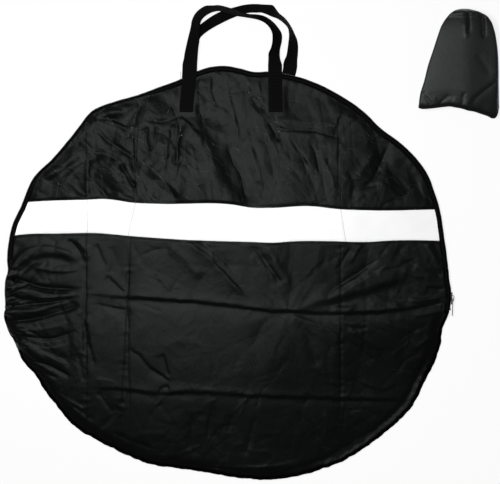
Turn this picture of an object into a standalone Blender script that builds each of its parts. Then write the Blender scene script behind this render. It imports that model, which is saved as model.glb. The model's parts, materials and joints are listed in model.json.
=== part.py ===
"""A round, flat bag for one bicycle wheel, lying empty on its back, with its storage pouch beside it.

+Z is up and +Y points from the middle of the bag to its handles. The origin is the centre of the zip's
arc, on the surface that the bag lies on. The zip runs round the upper half of the rim with its two rows of
teeth one above the other, so that the upper half of the front opens like a lid about a straight fold.
"""

from math import asin, atan2, ceil, cos, degrees, hypot, pi, radians, sin, sqrt

import bmesh
import bpy
from mathutils import Vector

# Outline of the bag
ZIP_RADIUS = 0.396  # from the bag's centre to the middle of the zip
FOLD_Y = 0.010  # the straight fold on which the front opens
ZIP_END_Y = -0.032  # where the zip ends on both sides
CHAIN_START_Y = 0.039  # where the rows of teeth that part begin
TAPE_SHOWN = 0.008  # how far the zip's tape shows outside a panel
TAPE_LAP = 0.010  # how far the tape reaches in under a panel
SEAM_START = 8.0  # degrees below the sideways line at which the sewn lower edge begins

# The lower edge of the bag: degrees below the sideways line, from right to left, and its radius as a
# share of the zip's
LOWER_EDGE_SHARES = (
    (0, 1.000),
    (8, 0.985),
    (30, 0.982),
    (45, 0.950),
    (60, 0.919),
    (75, 0.876),
    (90, 0.836),
    (100, 0.826),
    (112, 0.852),
    (130, 0.897),
    (150, 0.940),
    (172, 0.990),
    (180, 1.000),
)

# The white band across the front
BAND_Y = 0.121
BAND_WIDTH = 0.060

# Thicknesses and clearances
CLOTH = 0.0015
WEBBING = 0.0015
TAPE = 0.0012
BINDING = 0.0010
GAP = 0.0003
JOINT_GAP = 0.0003

# The soft rise of the panels
CROWN = 0.009  # how far each half of the front swells above the rim
FOLD_REACH = 0.120  # how far from the fold the swelling takes to grow
EDGE_ROUND = 0.028  # how far in from the lower seam the front reaches its height
BACK_EASE = 0.015  # how far in from the lower seam the back reaches the ground
PANEL_STEP = 0.080  # spacing of the lines on which a panel bends
EDGE_LINE_SHARES = (0.08, 0.28, 0.58, 1.0)  # more such lines along the seam, as shares of its rounding

# The zip
BEAD = 0.0010  # height of the cord that carries a row of teeth
TOOTH = 0.0025  # how far a tooth stands out of its cord
TOOTH_WIDTH = 0.0033
TOOTH_DEPTH = 0.0028  # through the row, from inside to outside
TOOTH_PITCH = 0.0080
TOOTH_NOTCH = 0.0004  # depth of the grooves between the meshed teeth at the zip's ends
TAPE_UPRIGHT = 0.0010  # least height of the tape's edge between the panel and the teeth
STOP_LENGTH = 0.004
STOP_WALL = 0.0004
TAPE_TAIL = 0.006  # how far the tape runs on past the zip's end

# The lower edge's binding
BINDING_WIDTH = 0.004
BINDING_FLAT = 0.0038  # the flat edge that a panel has inside the binding

# The slider and its pull tab
SLIDER_Y = -0.015  # where it is parked, on the right
SLIDER_LENGTH = 0.022
SLIDER_PLATE = 0.0015
SLIDER_FLANGE = 0.0010
SLIDER_CLEAR = 0.0005
INNER_PLATE = 0.0013
BRIDGE_LENGTH = 0.012
BRIDGE_WIDTH = 0.0020
BRIDGE_ROOM = 0.0026  # between the plate and the bridge
BRIDGE_THICKNESS = 0.0012
TAB_BAR = 0.0010  # thickness of the tab and of its ring
TAB_SIDE_CLEAR = 0.0005
TAB_RING_CLEAR = 0.0010
TAB_PLATE_LENGTH = 0.021
TAB_TIP = 0.003

# The handles
WEBBING_WIDTH = 0.025
HANDLE_OUT = 0.004  # how far outside the zip's middle line the front handle folds
REAR_HANDLE_OUT = 0.002  # how much farther out the rear handle folds
SEWN_LENGTH = 0.084  # the length of webbing sewn to a panel
STRAP_RAMP = 0.017  # how far the back panel takes to climb onto the sewn ends
LEFT_FOOT_X = -0.0741
RIGHT_FOOT_X = 0.0845
STRAP_STEP = 0.012

# The routes of the two handles as they lie, from the left leg's fold to the right leg's: sideways from
# the bag's middle line, out from the handle's own fold, the height of the lower edge, and the tilt of the
# webbing in degrees
FRONT_ROUTE = (
    (-0.0672, 0.0000, 0.0000, 0),
    (-0.0655, 0.0120, -0.0030, 8),
    (-0.0613, 0.0356, -0.0100, 38),
    (-0.0590, 0.0560, -0.0125, 47),
    (-0.0560, 0.0760, -0.0130, 53),
    (-0.0404, 0.0942, -0.0110, 58),
    (-0.0252, 0.1004, -0.0060, 62),
    (-0.0084, 0.1020, 0.0000, 66),
    (0.0070, 0.0970, 0.0030, 68),
    (0.0249, 0.0910, 0.0040, 70),
    (0.0512, 0.0850, -0.0050, 70),
    (0.0636, 0.0818, -0.0120, 64),
    (0.0793, 0.0685, -0.0150, 55),
    (0.0868, 0.0560, -0.0145, 50),
    (0.0873, 0.0409, -0.0135, 43),
    (0.0827, 0.0231, -0.0090, 22),
    (0.0832, 0.0100, -0.0025, 5),
    (0.0836, 0.0000, 0.0000, 0),
)
REAR_ROUTE = (
    (-0.0690, 0.0000, 0.0000, 0),
    (-0.0660, 0.0150, 0.0000, 4),
    (-0.0610, 0.0300, 0.0000, 12),
    (-0.0516, 0.0594, 0.0000, 30),
    (-0.0380, 0.0690, 0.0000, 34),
    (-0.0252, 0.0766, 0.0000, 30),
    (-0.0110, 0.0837, 0.0000, 24),
    (0.0053, 0.0922, 0.0000, 16),
    (0.0231, 0.0979, 0.0000, 18),
    (0.0391, 0.1014, 0.0000, 26),
    (0.0569, 0.1022, 0.0000, 44),
    (0.0740, 0.0975, 0.0000, 52),
    (0.0907, 0.0860, 0.0000, 68),
    (0.1060, 0.0700, 0.0000, 84),
    (0.1156, 0.0496, 0.0000, 58),
    (0.1156, 0.0318, 0.0000, 38),
    (0.1130, 0.0130, 0.0000, 14),
    (0.1110, 0.0000, 0.0000, 0),
)

# The storage pouch
POUCH_RIGHT = 0.0147  # the middle of its hem, out from the zip's radius
POUCH_UP = -0.0707  # and up from the zip's radius
POUCH_LENGTH = 0.174
POUCH_WIDTH = 0.140
POUCH_HEIGHT = 0.050
POUCH_WALL = 0.0015
POUCH_SIDES = 24

# The pouch from its hem to its mouth: share of the length, then as shares of the width the sideways shift
# and the width, then the height as a share of the greatest height
POUCH_SHARES = (
    (0.00, 0.00, 1.00, 0.07),
    (0.02, 0.00, 1.00, 0.22),
    (0.07, 0.01, 0.98, 0.46),
    (0.20, 0.03, 0.93, 0.80),
    (0.40, 0.07, 0.86, 0.98),
    (0.58, 0.10, 0.78, 1.00),
    (0.75, 0.11, 0.67, 0.88),
    (0.89, 0.11, 0.54, 0.68),
    (0.96, 0.08, 0.38, 0.50),
    (1.00, 0.06, 0.22, 0.40),
)
POUCH_FLAT_SHARE = 0.15  # the part of its height that rests flattened on the ground
HEM_SHARES = (0.029, -0.054, -0.072)  # level, slant and bow of its hem, as shares of the length

# Heights above the ground, built up from the ground and from the thicknesses
STRAP_LIFT = WEBBING + GAP
BACK_EDGE_LIFT = BINDING + GAP
BACK_TAPE_EDGE = STRAP_LIFT + CLOTH + GAP + TAPE + TAPE_UPRIGHT
BACK_BEAD_Z = BACK_TAPE_EDGE + GAP
FRONT_BEAD_Z = BACK_BEAD_Z + BEAD + TOOTH + GAP
CHAIN_TOP = FRONT_BEAD_Z + BEAD
CHAIN_MIDDLE = (BACK_BEAD_Z + CHAIN_TOP) / 2
FRONT_TAPE_EDGE = CHAIN_TOP + GAP
FRONT_TAPE_TOP = FRONT_TAPE_EDGE + TAPE_UPRIGHT + TAPE
RIM_TOP = FRONT_TAPE_TOP + GAP + CLOTH
SEAM_TOP = BACK_EDGE_LIFT + CLOTH + GAP + CLOTH
BINDING_TOP = SEAM_TOP + GAP + BINDING

# Places that follow from the sizes above
PANEL_RADIUS = ZIP_RADIUS - TAPE_SHOWN
FRONT_HANDLE_Y = ZIP_RADIUS + HANDLE_OUT
REAR_HANDLE_Y = FRONT_HANDLE_Y + REAR_HANDLE_OUT
SEWN_END_Y = FRONT_HANDLE_Y - SEWN_LENGTH
ZIP_END = -degrees(asin(ZIP_END_Y / ZIP_RADIUS))
TAIL_END = ZIP_END + degrees(TAPE_TAIL / ZIP_RADIUS)
CHAIN_START = degrees(asin(CHAIN_START_Y / ZIP_RADIUS))
SLIDER_ANGLE = degrees(asin(SLIDER_Y / ZIP_RADIUS))


def clear_scene():
    for old in list(bpy.data.objects):
        bpy.data.objects.remove(old, do_unlink=True)


def finish(name, colour, roughness, metallic=0.0):
    """A plain material in the piece's own colour."""
    material = bpy.data.materials.new(name)
    material.use_nodes = True
    shader = material.node_tree.nodes["Principled BSDF"]
    shader.inputs["Base Color"].default_value = (*colour, 1.0)
    shader.inputs["Roughness"].default_value = roughness
    shader.inputs["Metallic"].default_value = metallic
    material.diffuse_color = (*colour, 1.0)
    return material


def smooth_step(share):
    share = min(max(share, 0.0), 1.0)
    return share * share * (3 - 2 * share)


def mix(a, b, share):
    return a + (b - a) * share


def table_value(table, at):
    """The smooth curve through a table of (place, value) pairs, read at one place."""
    last = len(table) - 1
    k = 0
    while k < last - 1 and at > table[k + 1][0]:
        k += 1
    before, start, end, after = (table[min(max(i, 0), last)] for i in range(k - 1, k + 3))
    span = end[0] - start[0]
    share = (at - start[0]) / span
    slope_in = (end[1] - before[1]) / (end[0] - before[0]) * span
    slope_out = (after[1] - start[1]) / (after[0] - start[0]) * span
    return (
        (2 * share**3 - 3 * share**2 + 1) * start[1]
        + (share**3 - 2 * share**2 + share) * slope_in
        + (3 * share**2 - 2 * share**3) * end[1]
        + (share**3 - share**2) * slope_out
    )


def curve_point(points, at):
    """A point on the smooth curve through the points, where at counts from 0 at the first to 1 at each next."""
    k = min(int(at), len(points) - 2)
    share = at - k
    before, start, end, after = (
        points[min(max(i, 0), len(points) - 1)] for i in range(k - 1, k + 3)
    )
    return tuple(
        0.5
        * (
            2 * b
            + (c - a) * share
            + (2 * a - 5 * b + 4 * c - d) * share**2
            + (3 * b - a - 3 * c + d) * share**3
        )
        for a, b, c, d in zip(before, start, end, after)
    )


def around(radius, angle, height=0.0):
    return Vector((radius * cos(radians(angle)), radius * sin(radians(angle)), height))


def below_side(angle):
    """Degrees below the sideways line, from 0 on the right to 180 on the left; negative above the line."""
    angle = (angle + 90) % 360 - 90
    return -angle if angle < 90 else angle - 180


def seam_share(angle):
    """0 where the zip runs, 1 along the sewn lower edge, and a short change between the two."""
    return smooth_step((below_side(angle) - TAIL_END) / (SEAM_START - TAIL_END))


def seam_radius(angle):
    """Radius of the bag's sewn lower edge."""
    place = (-angle) % 360
    return ZIP_RADIUS * table_value(LOWER_EDGE_SHARES, min(place, 180))


def panel_radius(angle):
    """Radius at which the front and back panels end."""
    share = seam_share(angle)
    if share == 0:
        return PANEL_RADIUS
    return mix(PANEL_RADIUS, seam_radius(angle) - BINDING - GAP, share)


def polar(x, y):
    return hypot(x, y), degrees(atan2(y, x))


def front_top(x, y):
    """Height of the front's outer side: level at the zip and the fold, swelling between them."""
    radius, angle = polar(x, y)
    edge = panel_radius(angle)
    inside = max(edge - radius, 0.0)
    swell = (1 - min(radius / edge, 1.0) ** 2) * smooth_step(abs(y - FOLD_Y) / FOLD_REACH)
    body = RIM_TOP + CROWN * swell
    rise = min(max((inside - BINDING_FLAT) / EDGE_ROUND, 0.0), 1.0)
    rounded = mix(SEAM_TOP, body, sqrt(1 - (1 - rise) ** 2))
    return mix(body, rounded, seam_share(angle))


def back_lift(x, y):
    """Height of the back's outer side: on the ground, but raised by the sewn straps and by the binding."""
    radius, angle = polar(x, y)
    inside = panel_radius(angle) - radius - BINDING_FLAT
    at_seam = BACK_EDGE_LIFT * (1 - smooth_step(inside / BACK_EASE)) * seam_share(angle)
    at_straps = STRAP_LIFT * smooth_step((y - SEWN_END_Y + GAP + STRAP_RAMP) / STRAP_RAMP)
    return max(at_seam, at_straps)


def new_object(name, shape, material, smooth=False):
    """An object that holds the shape, with its faces turned outwards."""
    bmesh.ops.recalc_face_normals(shape, faces=shape.faces[:])
    mesh = bpy.data.meshes.new(name)
    shape.to_mesh(mesh)
    shape.free()
    if smooth:
        mesh.shade_smooth()
        mesh.set_sharp_from_angle(angle=radians(35))
    mesh.materials.append(material)
    made = bpy.data.objects.new(name, mesh)
    bpy.context.scene.collection.objects.link(made)
    return made


def axis_marker(name, place, carrier=None):
    """An empty on a joint's axis, which carries the pieces that move with the joint."""
    marker = bpy.data.objects.new(name, None)
    marker.location = place
    bpy.context.scene.collection.objects.link(marker)
    bpy.context.view_layer.update()
    if carrier:
        carry(marker, carrier)
    return marker


def carry(piece, marker):
    """Parents a piece to a marker and leaves it where it is."""
    bpy.context.view_layer.update()
    piece.parent = marker
    piece.matrix_parent_inverse = marker.matrix_world.inverted()


def sweep(name, rings, material, smooth=True):
    """A closed skin through rings of equally many points, with a cap on each end."""
    shape = bmesh.new()
    rows = [[shape.verts.new(point) for point in ring] for ring in rings]
    for row, after in zip(rows, rows[1:]):
        for k in range(len(row)):
            n = (k + 1) % len(row)
            shape.faces.new((row[k], row[n], after[n], after[k]))
    shape.faces.new(rows[0][::-1])
    shape.faces.new(rows[-1])
    return new_object(name, shape, material, smooth)


def steps(start, end, most):
    """Evenly spaced values from start to end, no farther apart than most."""
    count = max(1, ceil(abs(end - start) / most))
    return [mix(start, end, k / count) for k in range(count + 1)]


def cloth_panel(name, outline, top_of, material, insets=(), centre=(0.0, 0.0), round_all=False):
    """A sheet of cloth cut to an outline, bent on a grid of lines to the height that top_of gives.

    The insets are the distances of further lines inside the outline, which run all the way round the
    sheet or, on a sheet with a straight edge through the centre, from one end of that edge to the other.
    """
    shape = bmesh.new()
    middle = Vector((*centre, 0.0))
    rows = [[shape.verts.new(point) for point in outline]]
    for inset in insets:
        spots = [point - (point - middle).normalized() * inset for point in outline]
        rows.append([shape.verts.new(spot) for spot in spots])
    for row, after in zip(rows, rows[1:]):
        for k in range(len(row) if round_all else len(row) - 1):
            n = (k + 1) % len(row)
            shape.faces.new((row[k], row[n], after[n], after[k]))
    shape.faces.new(rows[-1])
    reach = ceil(ZIP_RADIUS / PANEL_STEP)
    for k in range(-reach, reach + 1):
        for normal in ((1, 0, 0), (0, 1, 0)):
            everything = shape.verts[:] + shape.edges[:] + shape.faces[:]
            place = [k * PANEL_STEP * part for part in normal]
            bmesh.ops.bisect_plane(
                shape, geom=everything, plane_co=place, plane_no=normal, dist=GAP
            )
    bmesh.ops.triangulate(shape, faces=shape.faces[:])
    made = bmesh.ops.extrude_face_region(shape, geom=shape.faces[:])["geom"]
    below = {item for item in made if isinstance(item, bmesh.types.BMVert)}
    for corner in shape.verts:
        top = top_of(corner.co.x, corner.co.y)
        corner.co.z = top - CLOTH if corner in below else top
    return new_object(name, shape, material, smooth=True)


def arc_points(start, end, most=5.0):
    """Points on the panels' edge between two angles."""
    return [around(panel_radius(angle), angle) for angle in steps(start, end, most)]


def side_angle(y):
    """The angle at which the panels' edge reaches this height of the zip's arc, on the right."""
    return degrees(asin(y / PANEL_RADIUS))


def front_outline(low, high):
    """The part of the front between two straight lines, or from one line up to the top of the rim."""
    start = side_angle(low)
    if high is None:
        return arc_points(start, 180 - start)
    end = side_angle(high)
    return arc_points(start, end) + arc_points(180 - end, 180 - start)


def lower_outline():
    """The front below the fold: its straight top edge, both zip ends and the sewn lower edge."""
    start = side_angle(FOLD_Y - JOINT_GAP / 2)
    breaks = (-start, TAIL_END, SEAM_START, 180 - SEAM_START, 180 - TAIL_END, 180 + start)
    outline = []
    for first, last in zip(breaks, breaks[1:]):
        spacing = 5.0 if last - first > SEAM_START else 0.9
        outline += arc_points(-first, -last, spacing)[:-1]
    return outline + [around(panel_radius(180 - start), 180 - start)]


def back_outline():
    outline = lower_outline()
    start = side_angle(FOLD_Y - JOINT_GAP / 2)
    return outline + arc_points(180 - start, start)[1:-1]


def build_front(cloth, white, flap):
    low = FOLD_Y + JOINT_GAP / 2
    band_low = BAND_Y - BAND_WIDTH / 2
    band_high = BAND_Y + BAND_WIDTH / 2
    half = GAP / 2
    pieces = (
        ("front_middle_panel", low, band_low - half, cloth),
        ("reflective_band", band_low + half, band_high - half, white),
        ("front_upper_panel", band_high + half, None, cloth),
    )
    for name, bottom, top, material in pieces:
        carry(cloth_panel(name, front_outline(bottom, top), front_top, material), flap)
    insets = [BINDING_WIDTH - BINDING]
    insets += [BINDING_FLAT + EDGE_ROUND * share for share in EDGE_LINE_SHARES]
    centre = (0.0, FOLD_Y - JOINT_GAP / 2)
    cloth_panel("front_lower_panel", lower_outline(), front_top, cloth, insets, centre)


def build_back(cloth):
    def back_top(x, y):
        return back_lift(x, y) + CLOTH

    insets = [BINDING_WIDTH - BINDING, BINDING_FLAT + BACK_EASE / 2, BINDING_FLAT + BACK_EASE]
    cloth_panel("back_panel", back_outline(), back_top, cloth, insets, round_all=True)


def build_binding(material):
    """The tape folded round both panels along the sewn lower edge."""
    profile = (
        (0, 0),
        (0, BINDING_TOP),
        (-BINDING_WIDTH, BINDING_TOP),
        (-BINDING_WIDTH, BINDING_TOP - BINDING),
        (-BINDING, BINDING_TOP - BINDING),
        (-BINDING, BINDING),
        (-BINDING_WIDTH, BINDING),
        (-BINDING_WIDTH, 0),
    )
    rings = [
        [around(seam_radius(-place) + out, -place, up) for out, up in profile]
        for place in steps(SEAM_START, 180 - SEAM_START, 5.0)
    ]
    sweep("lower_edge_binding", rings, material)


def tape_profile(base, edge):
    """The zip tape's section: flat under the panel, then bent up or down to the teeth at its edge."""
    turn = 1 if edge > base else -1
    inner = PANEL_RADIUS - TAPE_LAP
    out = ZIP_RADIUS + TAPE / 2
    return (
        (inner, base),
        (out - TAPE, base),
        (out, base + turn * TAPE),
        (out, edge),
        (out - TAPE, edge),
        (out - TAPE, base + turn * TAPE),
        (inner, base + turn * TAPE),
    )


def build_tapes(material, flap):
    fold = degrees(asin((FOLD_Y + JOINT_GAP / 2) / (PANEL_RADIUS - TAPE_LAP)))
    below_fold = degrees(asin((FOLD_Y - JOINT_GAP / 2) / (ZIP_RADIUS + TAPE / 2)))

    def front_ring(angle):
        section = tape_profile(FRONT_TAPE_TOP, FRONT_TAPE_EDGE)
        return [around(radius, angle, height) for radius, height in section]

    def back_ring(angle):
        point = around(PANEL_RADIUS, angle)
        base = back_lift(point.x, point.y) * (1 - seam_share(angle)) + CLOTH + GAP
        section = tape_profile(base, BACK_TAPE_EDGE)
        return [around(radius, angle, height) for radius, height in section]

    front = [front_ring(angle) for angle in steps(fold, 180 - fold, 3.0)]
    carry(sweep("front_zip_tape", front, material), flap)
    back = [back_ring(angle) for angle in steps(-TAIL_END, 180 + TAIL_END, 3.0)]
    sweep("back_zip_tape", back, material)
    right = [front_ring(angle) for angle in steps(-TAIL_END, below_fold, 1.5)]
    sweep("front_tape_end_right", right, material)
    left = [front_ring(angle) for angle in steps(180 - below_fold, 180 + TAIL_END, 1.5)]
    sweep("front_tape_end_left", left, material)


def tooth_row(name, offset, bead_low, bead_high, tip, material):
    """A cord along the rim with evenly spaced teeth, made cell by cell so that it is one skin."""
    total = 180 - 2 * CHAIN_START
    count = int(radians(total) * ZIP_RADIUS / TOOTH_PITCH)
    pitch = total / count
    half_tooth = degrees(TOOTH_WIDTH / ZIP_RADIUS) / 2
    inner = ZIP_RADIUS - TOOTH_DEPTH / 2
    outer = ZIP_RADIUS + TOOTH_DEPTH / 2
    far, near = (bead_high, bead_low) if tip < bead_low else (bead_low, bead_high)
    shape = bmesh.new()

    def column(angle, *heights):
        return [[shape.verts.new(around(r, angle, z)) for z in heights] for r in (inner, outer)]

    def join(a, b, tooth):
        shape.faces.new((a[0][0], a[1][0], b[1][0], b[0][0]))
        deep = 2 if tooth else 1
        for side in (0, 1):
            corners = a[side][: deep + 1] + b[side][deep::-1]
            shape.faces.new(corners if side else corners[::-1])
        shape.faces.new((a[0][deep], b[0][deep], b[1][deep], a[1][deep]))

    def flank(a):
        shape.faces.new((a[0][1], a[1][1], a[1][2], a[0][2]))

    previous = first = column(CHAIN_START, far, near)
    for k in range(count):
        middle = CHAIN_START + (k + offset) * pitch
        left = column(middle - half_tooth, far, near, tip)
        right = column(middle + half_tooth, far, near, tip)
        join(previous, left, False)
        flank(left)
        join(left, right, True)
        flank(right)
        previous = right
    end = column(180 - CHAIN_START, far, near)
    join(previous, end, False)
    shape.faces.new((first[0][0], first[0][1], first[1][1], first[1][0]))
    shape.faces.new((end[0][0], end[1][0], end[1][1], end[0][1]))
    return new_object(name, shape, material)


def closed_chain(name, mirror, material):
    """The meshed teeth at an end of the zip, which never part: grooved between tooth and tooth."""
    inner = ZIP_RADIUS - TOOTH_DEPTH / 2
    outer = ZIP_RADIUS + TOOTH_DEPTH / 2
    clear = degrees(GAP / ZIP_RADIUS)
    edges = steps(-ZIP_END, CHAIN_START - 2 * clear, degrees(TOOTH_PITCH / 2 / ZIP_RADIUS))
    rings = []
    for k, (low, high) in enumerate(zip(edges, edges[1:])):
        for angle in (low, high):
            reach = outer - TOOTH_NOTCH * (k % 2)
            place = 180 - angle if mirror else angle
            section = (
                (inner, BACK_BEAD_Z),
                (reach, BACK_BEAD_Z),
                (reach, CHAIN_TOP),
                (inner, CHAIN_TOP),
            )
            ring = [around(radius, place, height) for radius, height in section]
            if not rings or ring != rings[-1]:
                rings.append(ring)
    sweep(name, rings, material, smooth=False)


def zip_stop(name, mirror, material):
    """The block clamped over the last teeth."""
    inner = ZIP_RADIUS - TOOTH_DEPTH / 2 - STOP_WALL
    outer = ZIP_RADIUS + TOOTH_DEPTH / 2 + STOP_WALL
    start = -ZIP_END - degrees(GAP / ZIP_RADIUS)
    rings = []
    for angle in steps(start, start - degrees(STOP_LENGTH / ZIP_RADIUS), 1.0):
        place = 180 - angle if mirror else angle
        section = (
            (inner, BACK_BEAD_Z),
            (outer - STOP_WALL, BACK_BEAD_Z),
            (outer, BACK_BEAD_Z + STOP_WALL),
            (outer, CHAIN_TOP - STOP_WALL),
            (outer - STOP_WALL, CHAIN_TOP),
            (inner, CHAIN_TOP),
        )
        rings.append([around(radius, place, height) for radius, height in section])
    sweep(name, rings, material, smooth=False)


def build_chain(teeth, stops, flap):
    back_tip = BACK_BEAD_Z + BEAD + TOOTH
    front_tip = FRONT_BEAD_Z - TOOTH
    tooth_row("back_zip_teeth", 0.25, BACK_BEAD_Z, BACK_BEAD_Z + BEAD, back_tip, teeth)
    front = tooth_row("front_zip_teeth", 0.75, FRONT_BEAD_Z, CHAIN_TOP, front_tip, teeth)
    carry(front, flap)
    for side, mirror in (("right", False), ("left", True)):
        closed_chain("closed_chain_" + side, mirror, teeth)
        zip_stop("zip_stop_" + side, mirror, stops)


def slider_place(along, out, up):
    """A point given along the zip, out from the middle of the zip and up, at the parked slider."""
    spot = around(ZIP_RADIUS + out, SLIDER_ANGLE)
    way = around(along, SLIDER_ANGLE + 90)
    return spot + way + Vector((0, 0, CHAIN_MIDDLE + up))


def slab(name, corners, spread, material):
    """A flat outline, given as (along, out, up) points, thickened by the vector spread."""
    shape = bmesh.new()
    near = [shape.verts.new(slider_place(*corner)) for corner in corners]
    face = shape.faces.new(near)
    made = bmesh.ops.extrude_face_region(shape, geom=[face])["geom"]
    shift = slider_place(*spread) - slider_place(0, 0, 0)
    moved = [item for item in made if isinstance(item, bmesh.types.BMVert)]
    bmesh.ops.translate(shape, verts=moved, vec=shift)
    return new_object(name, shape, material)


def build_slider(metal, runner):
    """The outer plate with its flanges and bridge, and the plate behind the teeth."""
    half_chain = (CHAIN_TOP - BACK_BEAD_Z) / 2
    plate_in = TOOTH_DEPTH / 2 + SLIDER_CLEAR
    plate_out = plate_in + SLIDER_PLATE
    flange_in = TAPE / 2 + SLIDER_CLEAR
    inside = half_chain + SLIDER_CLEAR
    half = inside + SLIDER_FLANGE
    reach = SLIDER_LENGTH / 2
    channel = (
        (-reach, flange_in, half),
        (-reach, plate_out - SLIDER_FLANGE / 2, half),
        (-reach, plate_out, half - SLIDER_FLANGE / 2),
        (-reach, plate_out, SLIDER_FLANGE / 2 - half),
        (-reach, plate_out - SLIDER_FLANGE / 2, -half),
        (-reach, flange_in, -half),
        (-reach, flange_in, -inside),
        (-reach, plate_in, -inside),
        (-reach, plate_in, inside),
        (-reach, flange_in, inside),
    )
    body = slab("slider_body", channel, (SLIDER_LENGTH, 0, 0), metal)
    low = plate_out - SLIDER_PLATE / 2
    top = plate_out + BRIDGE_ROOM
    end = BRIDGE_LENGTH / 2
    wall = BRIDGE_THICKNESS
    arch = [(-end, low), (-end, top), (-end + wall, top + wall), (end - wall, top + wall)]
    arch += [(end, top), (end, low), (end - wall, low), (end - wall, top - wall / 2)]
    arch += [(end - 1.5 * wall, top), (1.5 * wall - end, top), (wall - end, top - wall / 2)]
    arch += [(wall - end, low)]
    outline = [(along, out, -BRIDGE_WIDTH / 2) for along, out in arch]
    bridge = slab("slider_bridge", outline, (0, 0, BRIDGE_WIDTH), metal)
    bridge.hide_render = True
    bridge.display_type = "WIRE"
    join = body.modifiers.new("bridge", "BOOLEAN")
    join.operation = "UNION"
    join.object = bridge
    carry(body, runner)
    carry(bridge, runner)

    back = -(TOOTH_DEPTH / 2 + SLIDER_CLEAR)
    corner = SLIDER_FLANGE
    plate = [(corner - reach, back, -half_chain), (reach - corner, back, -half_chain)]
    plate += [(reach, back, corner - half_chain), (reach, back, half_chain - corner)]
    plate += [(reach - corner, back, half_chain), (corner - reach, back, half_chain)]
    plate += [(-reach, back, half_chain - corner), (-reach, back, corner - half_chain)]
    carry(slab("slider_inner_plate", plate, (0, -INNER_PLATE, 0), metal), runner)
    return plate_out


def build_pull_tab(metal, runner, plate_out):
    """A ring through the bridge with a flat tab, lying back along the zip."""
    pin = plate_out + BRIDGE_ROOM / 2
    ring_in = BRIDGE_WIDTH / 2 + TAB_SIDE_CLEAR
    ring_out = ring_in + TAB_BAR
    ring_end = hypot(BRIDGE_LENGTH / 2, BRIDGE_ROOM) + TAB_RING_CLEAR
    along = (TAB_BAR / 2, -TAB_BAR / 2, -ring_end, -ring_end - TAB_PLATE_LENGTH)
    tip = along[-1] - TAB_TIP
    across = (-ring_out, -ring_in, ring_in, ring_out)
    shape = bmesh.new()
    low = pin - TAB_BAR / 2
    grid = [[shape.verts.new(slider_place(t, low, z)) for z in across] for t in along]
    rounded = [shape.verts.new(slider_place(tip, low, z)) for z in across[1:3]]
    for row, after in zip(grid, grid[1:]):
        for k in range(3):
            if row is grid[1] and k == 1:
                continue
            shape.faces.new((row[k], row[k + 1], after[k + 1], after[k]))
    shape.faces.new((grid[-1][0], grid[-1][1], rounded[0]))
    shape.faces.new((grid[-1][1], grid[-1][2], rounded[1], rounded[0]))
    shape.faces.new((grid[-1][2], grid[-1][3], rounded[1]))
    made = bmesh.ops.extrude_face_region(shape, geom=shape.faces[:])["geom"]
    moved = [item for item in made if isinstance(item, bmesh.types.BMVert)]
    shift = slider_place(0, TAB_BAR, 0) - slider_place(0, 0, 0)
    bmesh.ops.translate(shape, verts=moved, vec=shift)
    tab = new_object("pull_tab", shape, metal)
    hinge = axis_marker("pull_tab_axis", slider_place(0, pin, 0), runner)
    carry(tab, hinge)


def strap_ring(centre, tangent, tilt):
    """The webbing's section at one place: its width lies across the route and tilts with its inner edge up."""
    level = Vector((tangent.y, -tangent.x, 0)).normalized()
    across = level * cos(tilt) + Vector((0, 0, 1)) * sin(tilt)
    normal = across.cross(tangent).normalized()
    half = across * WEBBING_WIDTH / 2
    thick = normal * WEBBING / 2
    return [centre - half - thick, centre + half - thick, centre + half + thick, centre - half + thick]


def strap_loop(name, route, fold_y, fold_z, material):
    """A handle's loop, swept along its route from fold to fold."""
    marks = []
    for k in range(len(route) - 1):
        length = hypot(route[k + 1][0] - route[k][0], route[k + 1][1] - route[k][1])
        count = max(1, ceil(length / STRAP_STEP))
        marks += [k + i / count for i in range(count)]
    marks.append(len(route) - 1)
    spots = []
    for mark in marks:
        x, y, low, tilt = curve_point(route, mark)
        tilt = radians(tilt)
        height = fold_z - WEBBING / 2 + low + WEBBING_WIDTH / 2 * sin(tilt)
        spots.append((Vector((x, fold_y + y, height)), tilt))
    rings = []
    for k, (centre, tilt) in enumerate(spots):
        before = spots[max(k - 1, 0)][0]
        after = spots[min(k + 1, len(spots) - 1)][0]
        tangent = (after - before).normalized()
        if k in (0, len(spots) - 1):
            tangent = Vector((0, 1 if k == 0 else -1, 0))
            centre = centre + Vector((0, JOINT_GAP / 2, 0))
        rings.append(strap_ring(centre, tangent, tilt))
    return sweep(name, rings, material)


def strap_end(name, foot_x, fold_x, fold_y, top_of, material):
    """The leg of a handle that is sewn to its panel, from its end to the fold."""
    rings = []
    for y in steps(SEWN_END_Y, fold_y - JOINT_GAP / 2, PANEL_STEP / 6):
        share = (y - SEWN_END_Y) / (fold_y - SEWN_END_Y)
        x = mix(foot_x, fold_x, smooth_step(share) if abs(fold_x) < abs(foot_x) else share)
        top = top_of(x, y)
        left = x - WEBBING_WIDTH / 2
        right = x + WEBBING_WIDTH / 2
        rings.append(
            [
                Vector((left, y, top - WEBBING)),
                Vector((right, y, top - WEBBING)),
                Vector((right, y, top)),
                Vector((left, y, top)),
            ]
        )
    return sweep(name, rings, material)


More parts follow.
